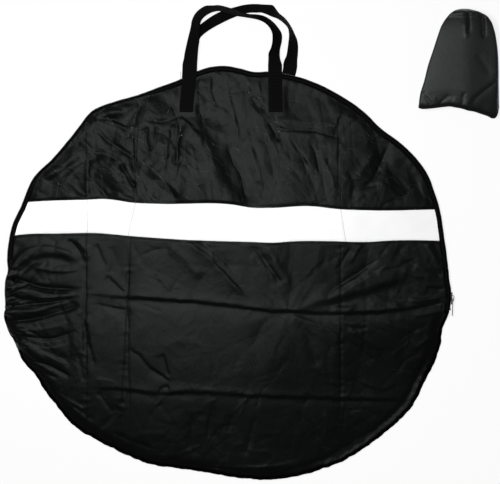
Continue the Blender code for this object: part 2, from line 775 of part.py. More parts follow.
def build_handles(material, flap):
    def on_front(x, y):
        return front_top(x, y) + GAP + WEBBING

    def under_back(x, y):
        return WEBBING

    fold_z = RIM_TOP + GAP + WEBBING
    front_axis = axis_marker("front_handle_axis", (0, FRONT_HANDLE_Y, fold_z), flap)
    rear_axis = axis_marker("rear_handle_axis", (0, REAR_HANDLE_Y, WEBBING))
    front = strap_loop("front_handle", FRONT_ROUTE, FRONT_HANDLE_Y, fold_z, material)
    rear = strap_loop("rear_handle", REAR_ROUTE, REAR_HANDLE_Y, WEBBING, material)
    carry(front, front_axis)
    carry(rear, rear_axis)
    for side, foot_x, at in (("left", LEFT_FOOT_X, 0), ("right", RIGHT_FOOT_X, -1)):
        front_end = strap_end(
            "front_handle_end_" + side, foot_x, FRONT_ROUTE[at][0], FRONT_HANDLE_Y, on_front, material
        )
        carry(front_end, flap)
        strap_end(
            "rear_handle_end_" + side, foot_x, REAR_ROUTE[at][0], REAR_HANDLE_Y, under_back, material
        )


def pouch_arc(row, wall, first, last, inset=0.0):
    """Points across the pouch, or across its inside when wall is the cloth's thickness.

    They run from the first to the last of its sides, which are numbered from its right over its top.
    """
    along, shift, width, height = row
    half = POUCH_WIDTH * width / 2 - wall - inset
    tall = POUCH_HEIGHT * height - 2 * wall
    middle_x = ZIP_RADIUS + POUCH_RIGHT + shift * POUCH_WIDTH
    arc = []
    for k in range(first, last + 1):
        turn = 2 * pi * k / POUCH_SIDES
        side = cos(turn)
        rise = (1 + sin(turn)) / 2
        up = max(0.0, (rise - POUCH_FLAT_SHARE) / (1 - POUCH_FLAT_SHARE))
        level, slant, bow = HEM_SHARES
        hem = (level + slant * side + bow * side**2) * (1 - along) ** 2
        y = ZIP_RADIUS + POUCH_UP + (along + hem) * POUCH_LENGTH
        arc.append(Vector((middle_x + half * side, y, wall + tall * up)))
    return arc


def build_pouch(material):
    """Its front goes over the top and some way under both sides, where it meets the flat back."""
    under = POUCH_SIDES // 8
    sheets = (
        ("pouch_front", -under, POUCH_SIDES // 2 + under, 0.0),
        ("pouch_back", POUCH_SIDES // 2 + under, POUCH_SIDES - under, GAP / cos(pi / 4)),
    )
    for name, first, last, inset in sheets:
        rings = []
        for row in POUCH_SHARES:
            outside = pouch_arc(row, 0.0, first, last, inset)
            inside = pouch_arc(row, POUCH_WALL, first, last, inset)
            rings.append(outside + inside[::-1])
        sweep(name, rings, material)


def build_bag():
    clear_scene()
    cloth = finish("black_nylon", (0.028, 0.028, 0.030), 0.55)
    white = finish("white_reflective_cloth", (0.86, 0.86, 0.87), 0.45)
    tape = finish("black_zip_tape", (0.012, 0.012, 0.013), 0.80)
    teeth = finish("black_zip_teeth", (0.020, 0.020, 0.022), 0.35)
    metal = finish("dark_zip_metal", (0.060, 0.060, 0.065), 0.35, 0.9)
    webbing = finish("black_webbing", (0.010, 0.010, 0.011), 0.85)

    flap = axis_marker("front_flap_axis", (0, FOLD_Y, RIM_TOP))
    runner = axis_marker("slider_axis", (0, 0, 0))
    build_front(cloth, white, flap)
    build_back(cloth)
    build_binding(tape)
    build_tapes(tape, flap)
    build_chain(teeth, metal, flap)
    plate_out = build_slider(metal, runner)
    build_pull_tab(metal, runner, plate_out)
    build_handles(webbing, flap)
    build_pouch(cloth)


build_bag()
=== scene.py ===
"""Dresses the empty wheel bag and its storage pouch: creased nylon, a white band, webbing and a zip."""

import json
from contextlib import contextmanager
from functools import cache
from math import asin, atan2, ceil, cos, degrees, floor, pi, radians, sin

import bmesh
import bpy
import numpy as np
from bpy.props import FloatProperty, FloatVectorProperty, IntProperty, PointerProperty
from mathutils import Matrix, Vector
from mathutils.geometry import delaunay_2d_cdt


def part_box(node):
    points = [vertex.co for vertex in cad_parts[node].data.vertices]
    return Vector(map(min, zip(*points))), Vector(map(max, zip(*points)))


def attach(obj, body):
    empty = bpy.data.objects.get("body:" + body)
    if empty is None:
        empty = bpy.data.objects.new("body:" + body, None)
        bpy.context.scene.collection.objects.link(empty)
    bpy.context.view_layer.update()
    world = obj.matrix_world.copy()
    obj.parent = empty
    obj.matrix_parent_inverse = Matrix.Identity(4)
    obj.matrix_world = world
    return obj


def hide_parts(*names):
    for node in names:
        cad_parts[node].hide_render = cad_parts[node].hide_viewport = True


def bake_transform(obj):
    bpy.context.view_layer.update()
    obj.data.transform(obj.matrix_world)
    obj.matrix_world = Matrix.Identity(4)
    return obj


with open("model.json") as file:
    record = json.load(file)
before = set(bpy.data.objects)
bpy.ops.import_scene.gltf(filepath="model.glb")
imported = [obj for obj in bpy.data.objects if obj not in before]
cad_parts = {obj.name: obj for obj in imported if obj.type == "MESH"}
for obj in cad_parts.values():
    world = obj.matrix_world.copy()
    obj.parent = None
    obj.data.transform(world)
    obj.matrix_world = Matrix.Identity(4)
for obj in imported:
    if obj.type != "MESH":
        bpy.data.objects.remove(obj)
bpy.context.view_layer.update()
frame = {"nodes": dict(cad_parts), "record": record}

bl_info = {
    "name": "Wheel bag",
    "version": (1, 0, 0),
    "blender": (4, 5, 0),
    "location": "3D View > Sidebar > Wheel bag",
    "description": "Builds a flat cloth bag for a bicycle wheel, with its zip, handles and storage pouch",
    "category": "Add Mesh",
}

MM = 0.001
# The front's relief is worked out on a grid of this reach and step
MAP_REACH = 0.42
MAP_STEP = 1.5 * MM
# Half the webbing's thickness, and how far the cord of the teeth lies inside the chain's face
WEBBING_HALF = 0.75 * MM
CORD_DEPTH = 0.6 * MM
# Where the crumples of the upper cloth start, and how its creases lean
UPPER_CLOTH_Y = 0.13
CREASE_LEAN = radians(-38)
JOINTS = {joint["name"]: joint for joint in frame["record"]["behaviour"]["joints"]}

# Places read from the frame
FOLD_Y = JOINTS["flap_opens"]["pos_m"][1]
RIM_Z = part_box("front_upper_panel")[0][2] + 1.5 * MM
SEAM_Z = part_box("front_lower_panel")[0][2] + 1.5 * MM
TAPE_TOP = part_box("front_zip_tape")[1][2]
TAPE_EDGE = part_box("front_zip_tape")[0][2]
CHAIN_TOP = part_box("front_zip_teeth")[1][2]
CHAIN_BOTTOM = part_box("back_zip_teeth")[0][2]
BACK_TAPE_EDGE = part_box("back_zip_tape")[1][2]
ZIP_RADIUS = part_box("back_zip_tape")[1][0] - 0.6 * MM
ZIP_END_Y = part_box("closed_chain_right")[0][1]
TAIL_END_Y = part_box("back_zip_tape")[0][1]
SEWN_END_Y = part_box("front_handle_end_left")[0][1]
FRONT_HANDLE = Vector(JOINTS["front_handle_swing"]["pos_m"])
REAR_HANDLE = Vector(JOINTS["rear_handle_swing"]["pos_m"])
TAB_AXIS = Vector(JOINTS["pull_tab_flip"]["pos_m"])

# The bag's outline as it lies: degrees from the sideways line and radius as a share of the zip's
OUTLINE = (
    (0.0, 0.9997), (2.6, 0.993), (6.0, 0.992), (13.0, 0.996), (21.2, 1.016), (25.4, 1.024),
    (29.7, 1.033), (34.5, 1.030), (40.2, 1.016), (47.0, 0.996), (52.6, 1.004), (60.0, 1.006),
    (69.4, 1.007), (76.0, 1.001), (79.6, 0.995), (83.0, 0.984), (87.0, 0.994), (90.5, 1.004),
    (95.0, 1.001), (99.0, 0.986), (103.1, 0.967), (109.0, 0.960), (115.4, 0.964), (121.0, 0.985),
    (127.6, 1.007), (132.6, 0.990), (138.0, 0.980), (143.5, 0.983), (149.4, 1.005),
    (158.4, 1.001), (163.0, 1.009), (168.0, 1.006), (172.0, 1.000), (175.3, 0.991),
    (177.4, 0.998), (180.0, 1.001), (184.3, 1.002), (186.8, 1.014), (190.2, 1.006), (194.2, 0.986),
    (198.8, 0.977), (204.1, 0.946), (209.1, 0.940), (214.8, 0.929), (220.5, 0.926),
    (228.7, 0.897), (238.9, 0.870), (244.5, 0.862), (253.0, 0.836), (261.9, 0.826),
    (272.0, 0.843), (281.9, 0.872), (288.0, 0.888), (295.3, 0.904), (302.3, 0.922),
    (307.0, 0.933), (314.6, 0.946), (321.4, 0.964), (327.3, 0.979), (332.0, 0.976),
    (336.7, 0.977), (341.4, 0.985), (345.8, 0.986), (350.0, 0.980), (352.2, 0.990),
    (354.4, 0.998), (356.0, 0.9995),
)

# Folds of the front as it lies. Each is its line in millimetres, how far it spreads to the left and to
# the right of that line, its depth (below zero for a valley), and how soft its bottom is: 1 is a sharp
# crease and 2 is round. With 0 it is a step: its width, how far it reaches and how far its left side lies
# above its right side, halved.
FOLDS = (
    (((-92, 330), (-70, 312), (-50, 290), (-30, 256), (-12, 218), (6, 186), (24, 158), (44, 118)),
     32, 62, -7.2, 0),
    (((-4, 254), (10, 228), (22, 204), (34, 158)), 4, 4, -2.6, 1.0),
    (((-233, 309), (-201, 302), (-171, 292), (-153, 288)), 9, 18, -2.0, 0),
    (((-150, 306), (-124, 300), (-100, 304), (-80, 308)), 3.5, 3.5, -2.4, 1.0),
    (((-96, 306), (-78, 300), (-62, 284), (-54, 270)), 4, 4, 2.4, 1.0),
    (((-146, 216), (-118, 190), (-88, 160)), 15, 20, 2.6, 0),
    (((-246, 228), (-216, 198), (-190, 168)), 26, 26, 3.0, 0),
    (((-262, 268), (-250, 262), (-238, 246)), 12, 12, -2.2, 0),
    (((300, 262), (282, 232), (270, 200), (262, 168)), 14, 40, 1.4, 0),
    (((70, 300), (108, 276), (150, 264), (192, 268)), 16, 20, 1.9, 0),
    (((-226, 306), (-192, 312), (-167, 324), (-148, 338)), 13, 16, 2.8, 0),
    (((-236, 307), (-206, 302), (-190, 297), (-170, 287)), 3.5, 3.5, -3.8, 1.0),
    (((-240, 290), (-226, 277), (-203, 258), (-174, 240), (-160, 227)), 4, 4, -4.4, 1.0),
    (((-245, 262), (-222, 250), (-196, 236), (-170, 214)), 10, 10, 2.6, 1.6),
    (((-236, 249), (-208, 222), (-182, 194)), 3.5, 3.5, -3.0, 1.0),
    (((-240, 254), (-212, 227), (-186, 199)), 4, 4, 2.0, 1.0),
    (((-192, 226), (-180, 206), (-164, 180)), 4, 4, -4.0, 1.0),
    (((-336, 192), (-300, 208), (-278, 226), (-256, 238), (-228, 234)), 12, 18, 3.2, 0),
    (((-340, 212), (-310, 238), (-282, 262)), 5, 6, 2.6, 1.3),
    (((-306, 240), (-290, 250), (-278, 268)), 4, 4, -2.2, 1.1),
    (((-288, 196), (-274, 183), (-261, 172), (-252, 165)), 5, 6, -2.6, 1.0),
    (((-288, 196), (-270, 213), (-249, 229)), 9, 8, 2.6, 1.3),
    (((-247, 236), (-248, 205), (-249, 164)), 3.5, 3.5, -3.6, 1.0),
    (((-226, 212), (-222, 190), (-208, 168)), 7, 8, 2.0, 1.5),
    (((-144, 290), (-145, 268), (-140, 244)), 4, 4, -3.6, 1.0),
    (((-125, 292), (-128, 276), (-131, 262)), 3.5, 3.5, -2.4, 1.0),
    (((-106, 290), (-107, 258), (-113, 210)), 6, 6, -2.6, 1.2),
    (((-84, 296), (-88, 267), (-92, 220)), 4, 4, -3.2, 1.0),
    (((-96, 296), (-98, 262), (-103, 218)), 5, 5, 2.0, 1.2),
    (((-156, 231), (-121, 201), (-85, 174), (-70, 158)), 10, 13, 1.6, 1.4),
    (((-66, 262), (-58, 230), (-52, 196)), 9, 9, -1.4, 1.7),
    (((-4, 384), (4, 341), (16, 292), (20, 262)), 10, 11, -2.4, 1.6),
    (((28, 377), (43, 345), (60, 315)), 8, 9, -2.4, 1.5),
    (((-30, 386), (-26, 350), (-18, 322)), 9, 9, 2.0, 1.7),
    (((44, 348), (57, 331), (71, 316)), 5, 6, -3.4, 1.1),
    (((40, 330), (52, 312), (68, 298)), 6, 6, 2.4, 1.3),
    (((64, 304), (84, 292), (108, 284), (153, 283), (190, 273), (206, 268)), 3.5, 3.5, -3.0, 1.0),
    (((72, 300), (80, 284), (94, 262)), 4, 4, -3.0, 1.0),
    (((222, 266), (250, 262), (290, 264)), 6, 8, -1.6, 1.3),
    (((90, 306), (124, 298), (160, 296), (200, 290)), 10, 8, 2.2, 1.7),
    (((108, 272), (124, 250), (136, 226), (141, 200)), 5, 5, -2.4, 1.1),
    (((96, 284), (112, 258), (140, 228), (164, 206)), 8, 8, 1.6, 1.4),
    (((144, 266), (156, 240), (165, 204)), 4, 4, -2.4, 1.0),
    (((60, 290), (72, 252), (82, 206), (84, 170)), 7, 8, -2.2, 1.3),
    (((34, 262), (50, 226), (60, 190), (62, 160)), 9, 9, 1.8, 1.8),
    (((288, 262), (274, 230), (262, 204), (240, 178)), 4, 5, -3.4, 1.0),
    (((262, 250), (246, 222), (226, 192)), 11, 12, 1.6, 1.7),
    (((245, 310), (267, 290), (296, 268)), 7, 7, -2.4, 1.3),
    (((284, 216), (306, 196), (330, 170)), 10, 11, -1.2, 1.6),
    (((210, 214), (222, 190), (218, 160)), 8, 8, -1.8, 1.5),
    # The pinched left side, where the cloth runs in pleats to the zip's end
    (((-406, 22), (-366, 16), (-334, 6), (-292, 2), (-254, 2)), 4.5, 4.5, -5.4, 1.0),
    (((-400, 10), (-362, 2), (-320, -6), (-276, -8)), 4, 9, 2.4, 1.1),
    (((-400, -6), (-360, -14), (-318, -18), (-270, -14)), 5, 14, 3.4, 0),
    (((-404, -30), (-360, -26), (-318, -22), (-262, -12)), 4.5, 4.5, -4.6, 1.0),
    (((-406, -46), (-366, -44), (-330, -38), (-266, -18)), 10, 14, 3.4, 0),
    (((-404, -56), (-364, -54), (-322, -46), (-262, -28)), 4.5, 5, -5.4, 1.0),
    (((-398, -66), (-352, -70), (-312, -66), (-266, -50)), 4, 10, 2.6, 1.1),
    (((-392, -72), (-352, -84), (-310, -86), (-268, -70)), 4.5, 4.5, -3.2, 1.0),
    (((-384, -82), (-350, -98), (-316, -104), (-276, -92)), 9, 9, 1.6, 1.5),
    (((-372, -104), (-348, -124), (-316, -136), (-278, -156)), 4, 4.5, -4.0, 1.0),
    (((-352, -100), (-321, -116), (-284, -134)), 4, 5, 1.6, 1.0),
    (((-360, -124), (-338, -142), (-300, -158)), 4, 4, -2.8, 1.0),
    (((-378, -84), (-350, -104), (-310, -120), (-276, -140)), 10, 12, -1.6, 0),
    (((-396, 14), (-372, 41), (-342, 57), (-304, 61), (-258, 48)), 16, 15, 3.6, 0),
    (((-394, 26), (-376, 56), (-350, 74), (-312, 76), (-270, 62)), 4, 9, 2.0, 1.1),
    (((-356, 46), (-330, 36), (-296, 32), (-262, 36)), 8, 8, 2.6, 1.5),
    (((-286, 92), (-270, 78), (-261, 64), (-252, 42)), 5, 6, -4.6, 1.1),
    (((-272, 90), (-256, 74), (-248, 56)), 5, 5, 2.4, 1.2),
    (((-236, 84), (-226, 62), (-216, 40)), 6, 7, -2.0, 1.3),
    (((-212, 78), (-204, 52), (-212, 26)), 6, 6, -1.8, 1.3),
    (((-218, 28), (-200, 10), (-180, -8)), 6, 6, -2.6, 1.1),
    (((-236, -24), (-210, -30), (-182, -38)), 5, 6, -2.2, 1.1),
    (((-258, -40), (-252, -74), (-244, -108), (-236, -140)), 6, 6, -2.8, 1.1),
    (((-268, -110), (-262, -140), (-256, -166)), 5, 5, -2.2, 1.2),
    # The long creases from storage
    (((-262, -8), (-178, -13), (-114, -18), (-50, -22), (39, -33), (107, -39), (150, -40)), 5, 13, 1.9, 0),
    (((60, -38), (107, -39), (178, -41), (240, -40), (306, -36), (386, -28)), 5, 13, 2.1, 0),
    (((-250, -172), (-178, -178), (-121, -185), (-75, -182), (-10, -184), (39, -188)), 5, 11, 1.3, 0),
    (((-30, -185), (36, -188), (100, -191), (164, -193), (240, -195), (330, -198)), 5, 11, 1.3, 0),
    (((-250, 236), (-252, 176)), 3, 4, -1.6, 1.0),
    (((-251, 70), (-254, 0), (-254, -80), (-252, -160)), 4, 5, -2.0, 1.0),
    (((-170, 290), (-168, 220), (-165, 160)), 3, 4, -1.8, 1.0),
    (((-178, 86), (-178, 0), (-178, -110), (-176, -230)), 3, 3, -1.9, 1.0),
    (((197, 310), (198, 230), (197, 158)), 3, 4, -1.5, 1.0),
    (((201, 78), (200, -20), (201, -120), (200, -230)), 3, 3, -1.3, 1.0),
    # Below the band
    (((-84, 94), (-52, 71), (-28, 52), (-7, 30), (11, 9), (39, -16)), 8, 11, 3.6, 1.2),
    (((-62, 92), (-34, 74), (-8, 52), (12, 30)), 10, 10, -2.6, 1.6),
    (((-106, 80), (-72, 50), (-48, 20)), 12, 13, 1.8, 1.8),
    (((40, 82), (59, 60), (73, 43), (94, 8)), 14, 6, -2.8, 1.2),
    (((66, 82), (84, 52), (104, 22), (112, -6)), 8, 15, 1.6, 1.7),
    (((172, -18), (187, 0), (213, 16), (242, 36), (270, 56)), 7, 7, -4.4, 1.1),
    (((190, -12), (216, 4), (246, 20), (286, 44)), 8, 10, 2.4, 1.4),
    (((220, 78), (206, 56), (190, 34)), 7, 7, -2.4, 1.3),
    (((240, 84), (226, 62), (214, 44)), 7, 7, 1.8, 1.4),
    (((114, -36), (178, -22), (228, -7), (277, 6), (340, 26)), 16, 24, 2.4, 0),
    (((105, -41), (66, -56), (50, -89), (44, -112)), 9, 12, -1.0, 1.5),
    (((110, -43), (146, -57), (180, -71), (208, -94)), 8, 10, 2.8, 1.3),
    (((118, -50), (140, -76), (152, -108), (158, -140)), 12, 14, -2.6, 1.7),
    (((213, -66), (245, -87), (279, -108)), 7, 8, 2.6, 1.2),
    (((206, -82), (236, -106), (262, -126)), 7, 7, -2.0, 1.4),
    (((299, -26), (324, -34), (345, -31), (392, -22)), 5, 5, -3.6, 1.1),
    (((318, -14), (346, -18), (396, -10)), 5, 5, 3.0, 1.2),
    (((330, -46), (352, -44), (388, -38)), 6, 6, 2.6, 1.3),
    (((352, 6), (372, 2), (394, 4)), 5, 5, -3.2, 1.1),
    (((332, -108), (347, -94), (364, -82)), 4, 4, 2.2, 1.1),
    (((364, 88), (378, 64), (390, 40)), 5, 6, -3.2, 1.1),
    (((350, 84), (366, 60), (380, 36)), 6, 6, 2.4, 1.3),
    (((300, 76), (316, 56), (338, 44)), 9, 9, -1.8, 1.6),
    # Towards the bottom
    (((-178, -101), (-156, -119), (-139, -137), (-121, -151), (-98, -167)), 6, 7, -3.2, 1.1),
    (((-117, -112), (-110, -135), (-101, -155)), 5, 6, -2.4, 1.1),
    (((-124, -190), (-119, -176), (-104, -170)), 4, 5, -2.8, 1.1),
    (((-60, -219), (-66, -249), (-68, -288)), 5, 6, -2.0, 1.2),
    (((-30, -217), (-34, -240), (-37, -266)), 5, 5, -1.8, 1.2),
    (((7, -220), (5, -238), (2, -256)), 4, 5, -1.6, 1.2),
    (((50, -224), (41, -260), (30, -299)), 5, 6, -2.0, 1.2),
    (((-192, -208), (-206, -228), (-228, -249)), 6, 6, -2.6, 1.2),
    (((-235, -181), (-220, -199), (-206, -222)), 6, 6, -2.4, 1.2),
    (((-318, -176), (-284, -196), (-252, -214)), 7, 7, 2.4, 1.3),
    (((-300, -186), (-268, -212), (-236, -236)), 6, 6, -2.2, 1.3),
    (((-210, -252), (-170, -268), (-130, -284)), 8, 8, -1.8, 1.5),
    (((-120, -300), (-60, -312), (20, -316), (90, -312), (140, -300)), 7, 9, 1.8, 1.5),
    (((120, -214), (150, -240), (168, -268)), 9, 9, -1.6, 1.6),
    (((230, -160), (268, -176), (300, -168)), 9, 9, 1.6, 1.7),
)

# Edges of the white band in millimetres: the bag's middle line is 0
BAND_TOP = (
    (-384, 155.5), (-356, 156.4), (-324, 158.2), (-251, 160.4), (-220, 161.6), (-165, 154.7),
    (-119, 152.9), (11, 151.1), (40, 146.4), (78, 145.8), (144, 149.0), (197, 143.6), (258, 141.2),
    (373, 143.1), (398, 143.4),
)
BAND_BOTTOM = (
    (-398, 94.8), (-354, 99.6), (-302, 100.4), (-229, 101.0), (-178, 96.4), (-69, 88.9), (44, 85.3),
    (80, 84.2), (119, 86.7), (178, 86.9), (254, 85.6), (283, 87.6), (359, 88.0), (398, 86.4),
)

# The two handles as they lie, in millimetres from the left fold to the right one: the outer edge and the
# inner edge of the webbing (sideways and outwards from the bag's middle) and their heights over the fold
FRONT_ROUTE = (
    (-79.7, 400.0, -54.7, 400.0, 0.0, 0.0),
    (-77.5, 418.5, -53.5, 419.3, -4.5, 2.0),
    (-74.1, 435.3, -52.6, 433.2, -9.0, 4.0),
    (-70.3, 451.8, -51.7, 448.1, -12.0, 4.5),
    (-66.2, 468.1, -50.3, 463.6, -12.8, 6.0),
    (-63.7, 481.5, -48.8, 475.0, -13.0, 7.0),
    (-56.2, 494.8, -44.1, 482.8, -12.8, 8.0),
    (-41.5, 505.3, -34.7, 489.8, -11.0, 10.0),
    (-26.5, 505.9, -25.5, 493.1, -6.0, 15.2),
    (-17.9, 506.1, -16.2, 494.1, -2.6, 19.2),
    (-8.9, 504.3, -8.7, 491.9, 0.0, 22.8),
    (1.8, 501.1, 0.8, 487.9, 2.0, 25.0),
    (16.0, 496.0, 13.6, 484.9, 3.4, 26.6),
    (34.0, 490.3, 33.0, 482.1, 2.4, 26.2),
    (50.7, 489.7, 48.8, 480.0, -4.4, 19.4),
    (63.4, 487.9, 58.2, 477.9, -11.6, 11.4),
    (73.6, 482.6, 66.6, 473.7, -13.8, 7.4),
    (82.6, 475.1, 72.4, 468.0, -15.0, 5.4),
    (89.0, 467.3, 75.8, 463.4, -14.7, 4.8),
    (94.1, 459.6, 78.7, 456.3, -14.5, 4.4),
    (96.0, 452.0, 79.4, 449.0, -14.0, 3.8),
    (95.2, 441.4, 78.7, 438.7, -12.5, 3.4),
    (92.7, 430.9, 76.2, 428.9, -10.5, 3.6),
    (91.9, 422.7, 72.2, 420.5, -7.5, 3.0),
    (92.5, 411.9, 71.8, 411.1, -3.5, 1.8),
    (96.1, 400.0, 71.1, 400.0, 0.0, 0.0),
)
REAR_ROUTE = (
    (-81.5, 402.0, -56.5, 402.0, 0.0, 0.0),
    (-77.5, 419.0, -54.1, 418.8, 0.0, 1.4),
    (-74.7, 432.0, -52.8, 431.2, 0.0, 5.0),
    (-70.2, 444.4, -51.3, 441.3, 0.0, 8.0),
    (-64.9, 456.9, -50.4, 447.4, 0.0, 10.6),
    (-56.9, 465.8, -44.3, 454.3, 0.0, 12.6),
    (-47.8, 474.3, -34.2, 461.8, 0.0, 13.8),
    (-33.2, 485.2, -22.7, 468.8, 0.0, 12.8),
    (-19.6, 493.2, -9.5, 475.8, 0.0, 11.4),
    (-5.3, 499.0, 2.9, 481.9, 0.0, 9.2),
    (8.5, 503.1, 14.3, 486.9, 0.0, 7.2),
    (25.1, 507.4, 28.1, 491.7, 0.0, 8.0),
    (37.9, 509.2, 39.1, 493.5, 0.0, 10.6),
    (50.5, 509.5, 50.0, 493.3, 0.0, 14.4),
    (63.3, 508.6, 59.4, 493.1, 0.0, 17.8),
    (75.6, 508.1, 67.6, 490.3, 0.0, 19.6),
    (80.5, 506.6, 73.5, 487.6, 0.0, 20.4),
    (86.2, 499.2, 80.0, 484.8, 0.0, 22.0),
    (91.2, 492.6, 86.6, 482.5, 0.0, 23.4),
    (99.6, 485.9, 94.0, 477.9, 0.0, 24.4),
    (106.2, 478.4, 101.9, 471.1, 0.0, 24.8),
    (111.0, 471.0, 106.8, 464.6, 0.0, 24.8),
    (115.0, 463.8, 108.5, 457.8, 0.0, 24.2),
    (119.1, 454.6, 108.8, 449.6, 0.0, 22.6),
    (122.8, 445.7, 107.8, 441.2, 0.0, 19.6),
    (124.6, 434.3, 106.5, 431.0, 0.0, 15.0),
    (124.3, 419.0, 104.2, 417.5, 0.0, 8.0),
    (123.4, 408.9, 100.0, 408.4, 0.0, 3.0),
    (123.5, 402.0, 98.5, 402.0, 0.0, 0.0),
)
# Where the sewn legs of both handles end, sideways in metres
LEFT_FOOT_X = -0.0741
RIGHT_FOOT_X = 0.0845

# The storage pouch in millimetres: its two sides from the hem to the mouth, its hem from left to right,
# and its height on the way from the hem to the mouth
POUCH_LEFT = (
    (326, 341), (345, 345), (367, 352), (398, 360), (428, 370), (449, 377), (470, 384.5), (484, 390),
    (492, 396), (497, 404), (499.5, 413),
)
POUCH_RIGHT = (
    (326, 481.5), (345, 481), (367, 480.5), (395, 480), (419, 479), (440, 476.5), (462, 472),
    (479, 465), (486, 459), (493, 446), (499.5, 426),
)
POUCH_HEM = (
    (-1.0, 4.4), (-0.86, 2.4), (-0.66, 3.4), (-0.35, 6.6), (-0.22, 7.4), (-0.10, 5.6), (0.06, 3.4),
    (0.2, 0.0), (0.34, -1.6), (0.52, -6.0), (0.68, -10.0), (0.82, -14.6), (0.90, -13.0), (0.96, -6.0),
    (1.0, 3.0),
)
POUCH_HEIGHT = (
    (0.0, 0.0), (0.007, 20.0), (0.03, 26.5), (0.10, 32.0), (0.25, 35.5), (0.55, 38.0), (0.90, 37.0),
    (0.98, 34.0), (1.0, 26.0),
)
POUCH_FOLDS = (
    (((425, 506), (425, 490), (426, 470), (425, 452)), 2.6, 3.5, -4.4, 1.0),
    (((420, 476), (420, 460), (422, 444)), 4, 4, 1.2, 1.2),
    (((450, 500), (452, 482), (453, 462), (452, 444)), 3, 3.5, -5.6, 1.0),
    (((486, 380), (470, 366), (450, 351), (434, 336), (428, 326)), 13, 3, -3.4, 1.05),
    (((344, 352), (352, 342), (360, 326)), 3, 4, -1.8, 1.0),
    (((394, 345), (382, 337), (372, 326)), 3, 4, -1.8, 1.0),
    (((404, 342), (400, 334), (398, 326)), 4, 4, 0.8, 1.2),
    (((440, 420), (456, 396), (466, 380)), 9, 9, -0.7, 1.7),
    (((346, 350), (352, 344), (362, 338), (372, 340)), 4, 4, 1.6, 1.1),
    (((420, 352), (416, 340), (417, 326)), 3, 3, -1.6, 1.0),
)


def smooth_step(share):
    """0 up to 0, 1 from 1 on and a smooth change between."""
    share = np.clip(share, 0.0, 1.0)
    return share * share * (3 - 2 * share)


def table_curve(table, at, wrap=None):
    """The smooth curve through a table of (place, value) pairs, read at many places."""
    places = np.array([row[0] for row in table], float)
    values = np.array([row[1] for row in table], float)
    if wrap:
        places = np.concatenate((places[-2:] - wrap, places, places[:2] + wrap))
        values = np.concatenate((values[-2:], values, values[:2]))
        at = np.mod(at, wrap)
    slopes = np.gradient(values, places)
    k = np.clip(np.searchsorted(places, at) - 1, 0, len(places) - 2)
    span = places[k + 1] - places[k]
    share = np.clip((at - places[k]) / span, 0.0, 1.0)
    square, cube = share**2, share**3
    return (
        (2 * cube - 3 * square + 1) * values[k]
        + (cube - 2 * square + share) * slopes[k] * span
        + (3 * square - 2 * cube) * values[k + 1]
        + (cube - square) * slopes[k + 1] * span
    )


def curve_points(points, spacing):
    """The points of a smooth curve through the given ones, about spacing apart."""
    out = []
    for k in range(len(points) - 1):
        around = (points[min(max(i, 0), len(points) - 1)] for i in range(k - 1, k + 3))
        before, start, end, after = (np.array(point, float) for point in around)
        count = max(1, ceil(float(np.hypot(*(end - start)[:2])) / spacing))
        for i in range(count):
            t = i / count
            square = (2 * before - 5 * start + 4 * end - after) * t**2
            cube = (3 * start - before - 3 * end + after) * t**3
            out.append(0.5 * (2 * start + (end - before) * t + square + cube))
    out.append(np.array(points[-1], float))
    return np.array(out)


def angle_at(y, radius=ZIP_RADIUS):
    """Degrees from the sideways line of the place at height y on a circle."""
    return degrees(asin(y / radius))


def polar(radius, angle):
    """x and y at a radius and an angle in degrees."""
    return radius * np.cos(np.radians(angle)), radius * np.sin(np.radians(angle))


def outline_radius(angle):
    """How far the bag's edge lies from the middle, in metres."""
    around = np.radians(np.asarray(angle, float)) * ZIP_RADIUS
    jagged = noise_field(around, around * 0, 0.021, 71.0) + 0.6 * noise_field(around, around * 0, 0.009, 73.0)
    below = below_side(angle)
    share = 0.25 * smooth_step((np.abs(below - 2.2) - 2.4) / 2) + 0.75 * smooth_step((below - 8) / 6)
    return ZIP_RADIUS * table_curve(OUTLINE, angle, 360.0) + 1.5 * MM * share * jagged


def below_side(angle):
    """Degrees below the sideways line, from either side."""
    angle = np.mod(np.asarray(angle, float) + 90, 360) - 90
    return np.where(angle < 90, -angle, angle - 180)


def seam_share(angle):
    """0 where the zip runs, 1 along the sewn lower edge."""
    return smooth_step((below_side(angle) - angle_at(-TAIL_END_Y)) / 2.5)


def arc_share(angle, middle, half, fade):
    """1 near the middle angle and 0 from half away from it, over a fade of so many degrees."""
    return smooth_step((half - np.abs(np.mod(np.asarray(angle, float), 360) - middle)) / fade)


def gathered_share(angle):
    """1 on the left where the cloth is bunched over the zip, 0 elsewhere."""
    return arc_share(angle, 184.5, 13, 4)


def cloth_radius(angle):
    """Where the panels end, inside the zip's tape or the binding."""
    share, gathered = seam_share(angle), gathered_share(angle)
    margin = (8.0 - 4.6 * arc_share(angle, 131, 24, 8)) * (1 - share) + 1.4 * share
    return outline_radius(angle) - (margin * (1 - gathered) + 0.6 * gathered) * MM


def noise_field(x, y, size, seed):
    """Smooth noise from about -1 to 1 with bumps about size across."""
    u, v = x / size, y / size
    column, row = np.floor(u), np.floor(v)
    total = np.zeros(np.broadcast(u, v).shape)
    for right in (0, 1):
        for up in (0, 1):
            mixed = np.sin((column + right) * 127.1 + (row + up) * 311.7 + seed * 74.7) * 43758.5
            turn = (mixed - np.floor(mixed)) * 2 * pi
            off_u, off_v = u - column - right, v - row - up
            share = quintic(1 - np.abs(off_u)) * quintic(1 - np.abs(off_v))
            total = total + share * (np.cos(turn) * off_u + np.sin(turn) * off_v)
    return total * 1.5


def quintic(share):
    """Like smooth_step, but smoother still at both ends."""
    return share**3 * (share * (6 * share - 15) + 10)


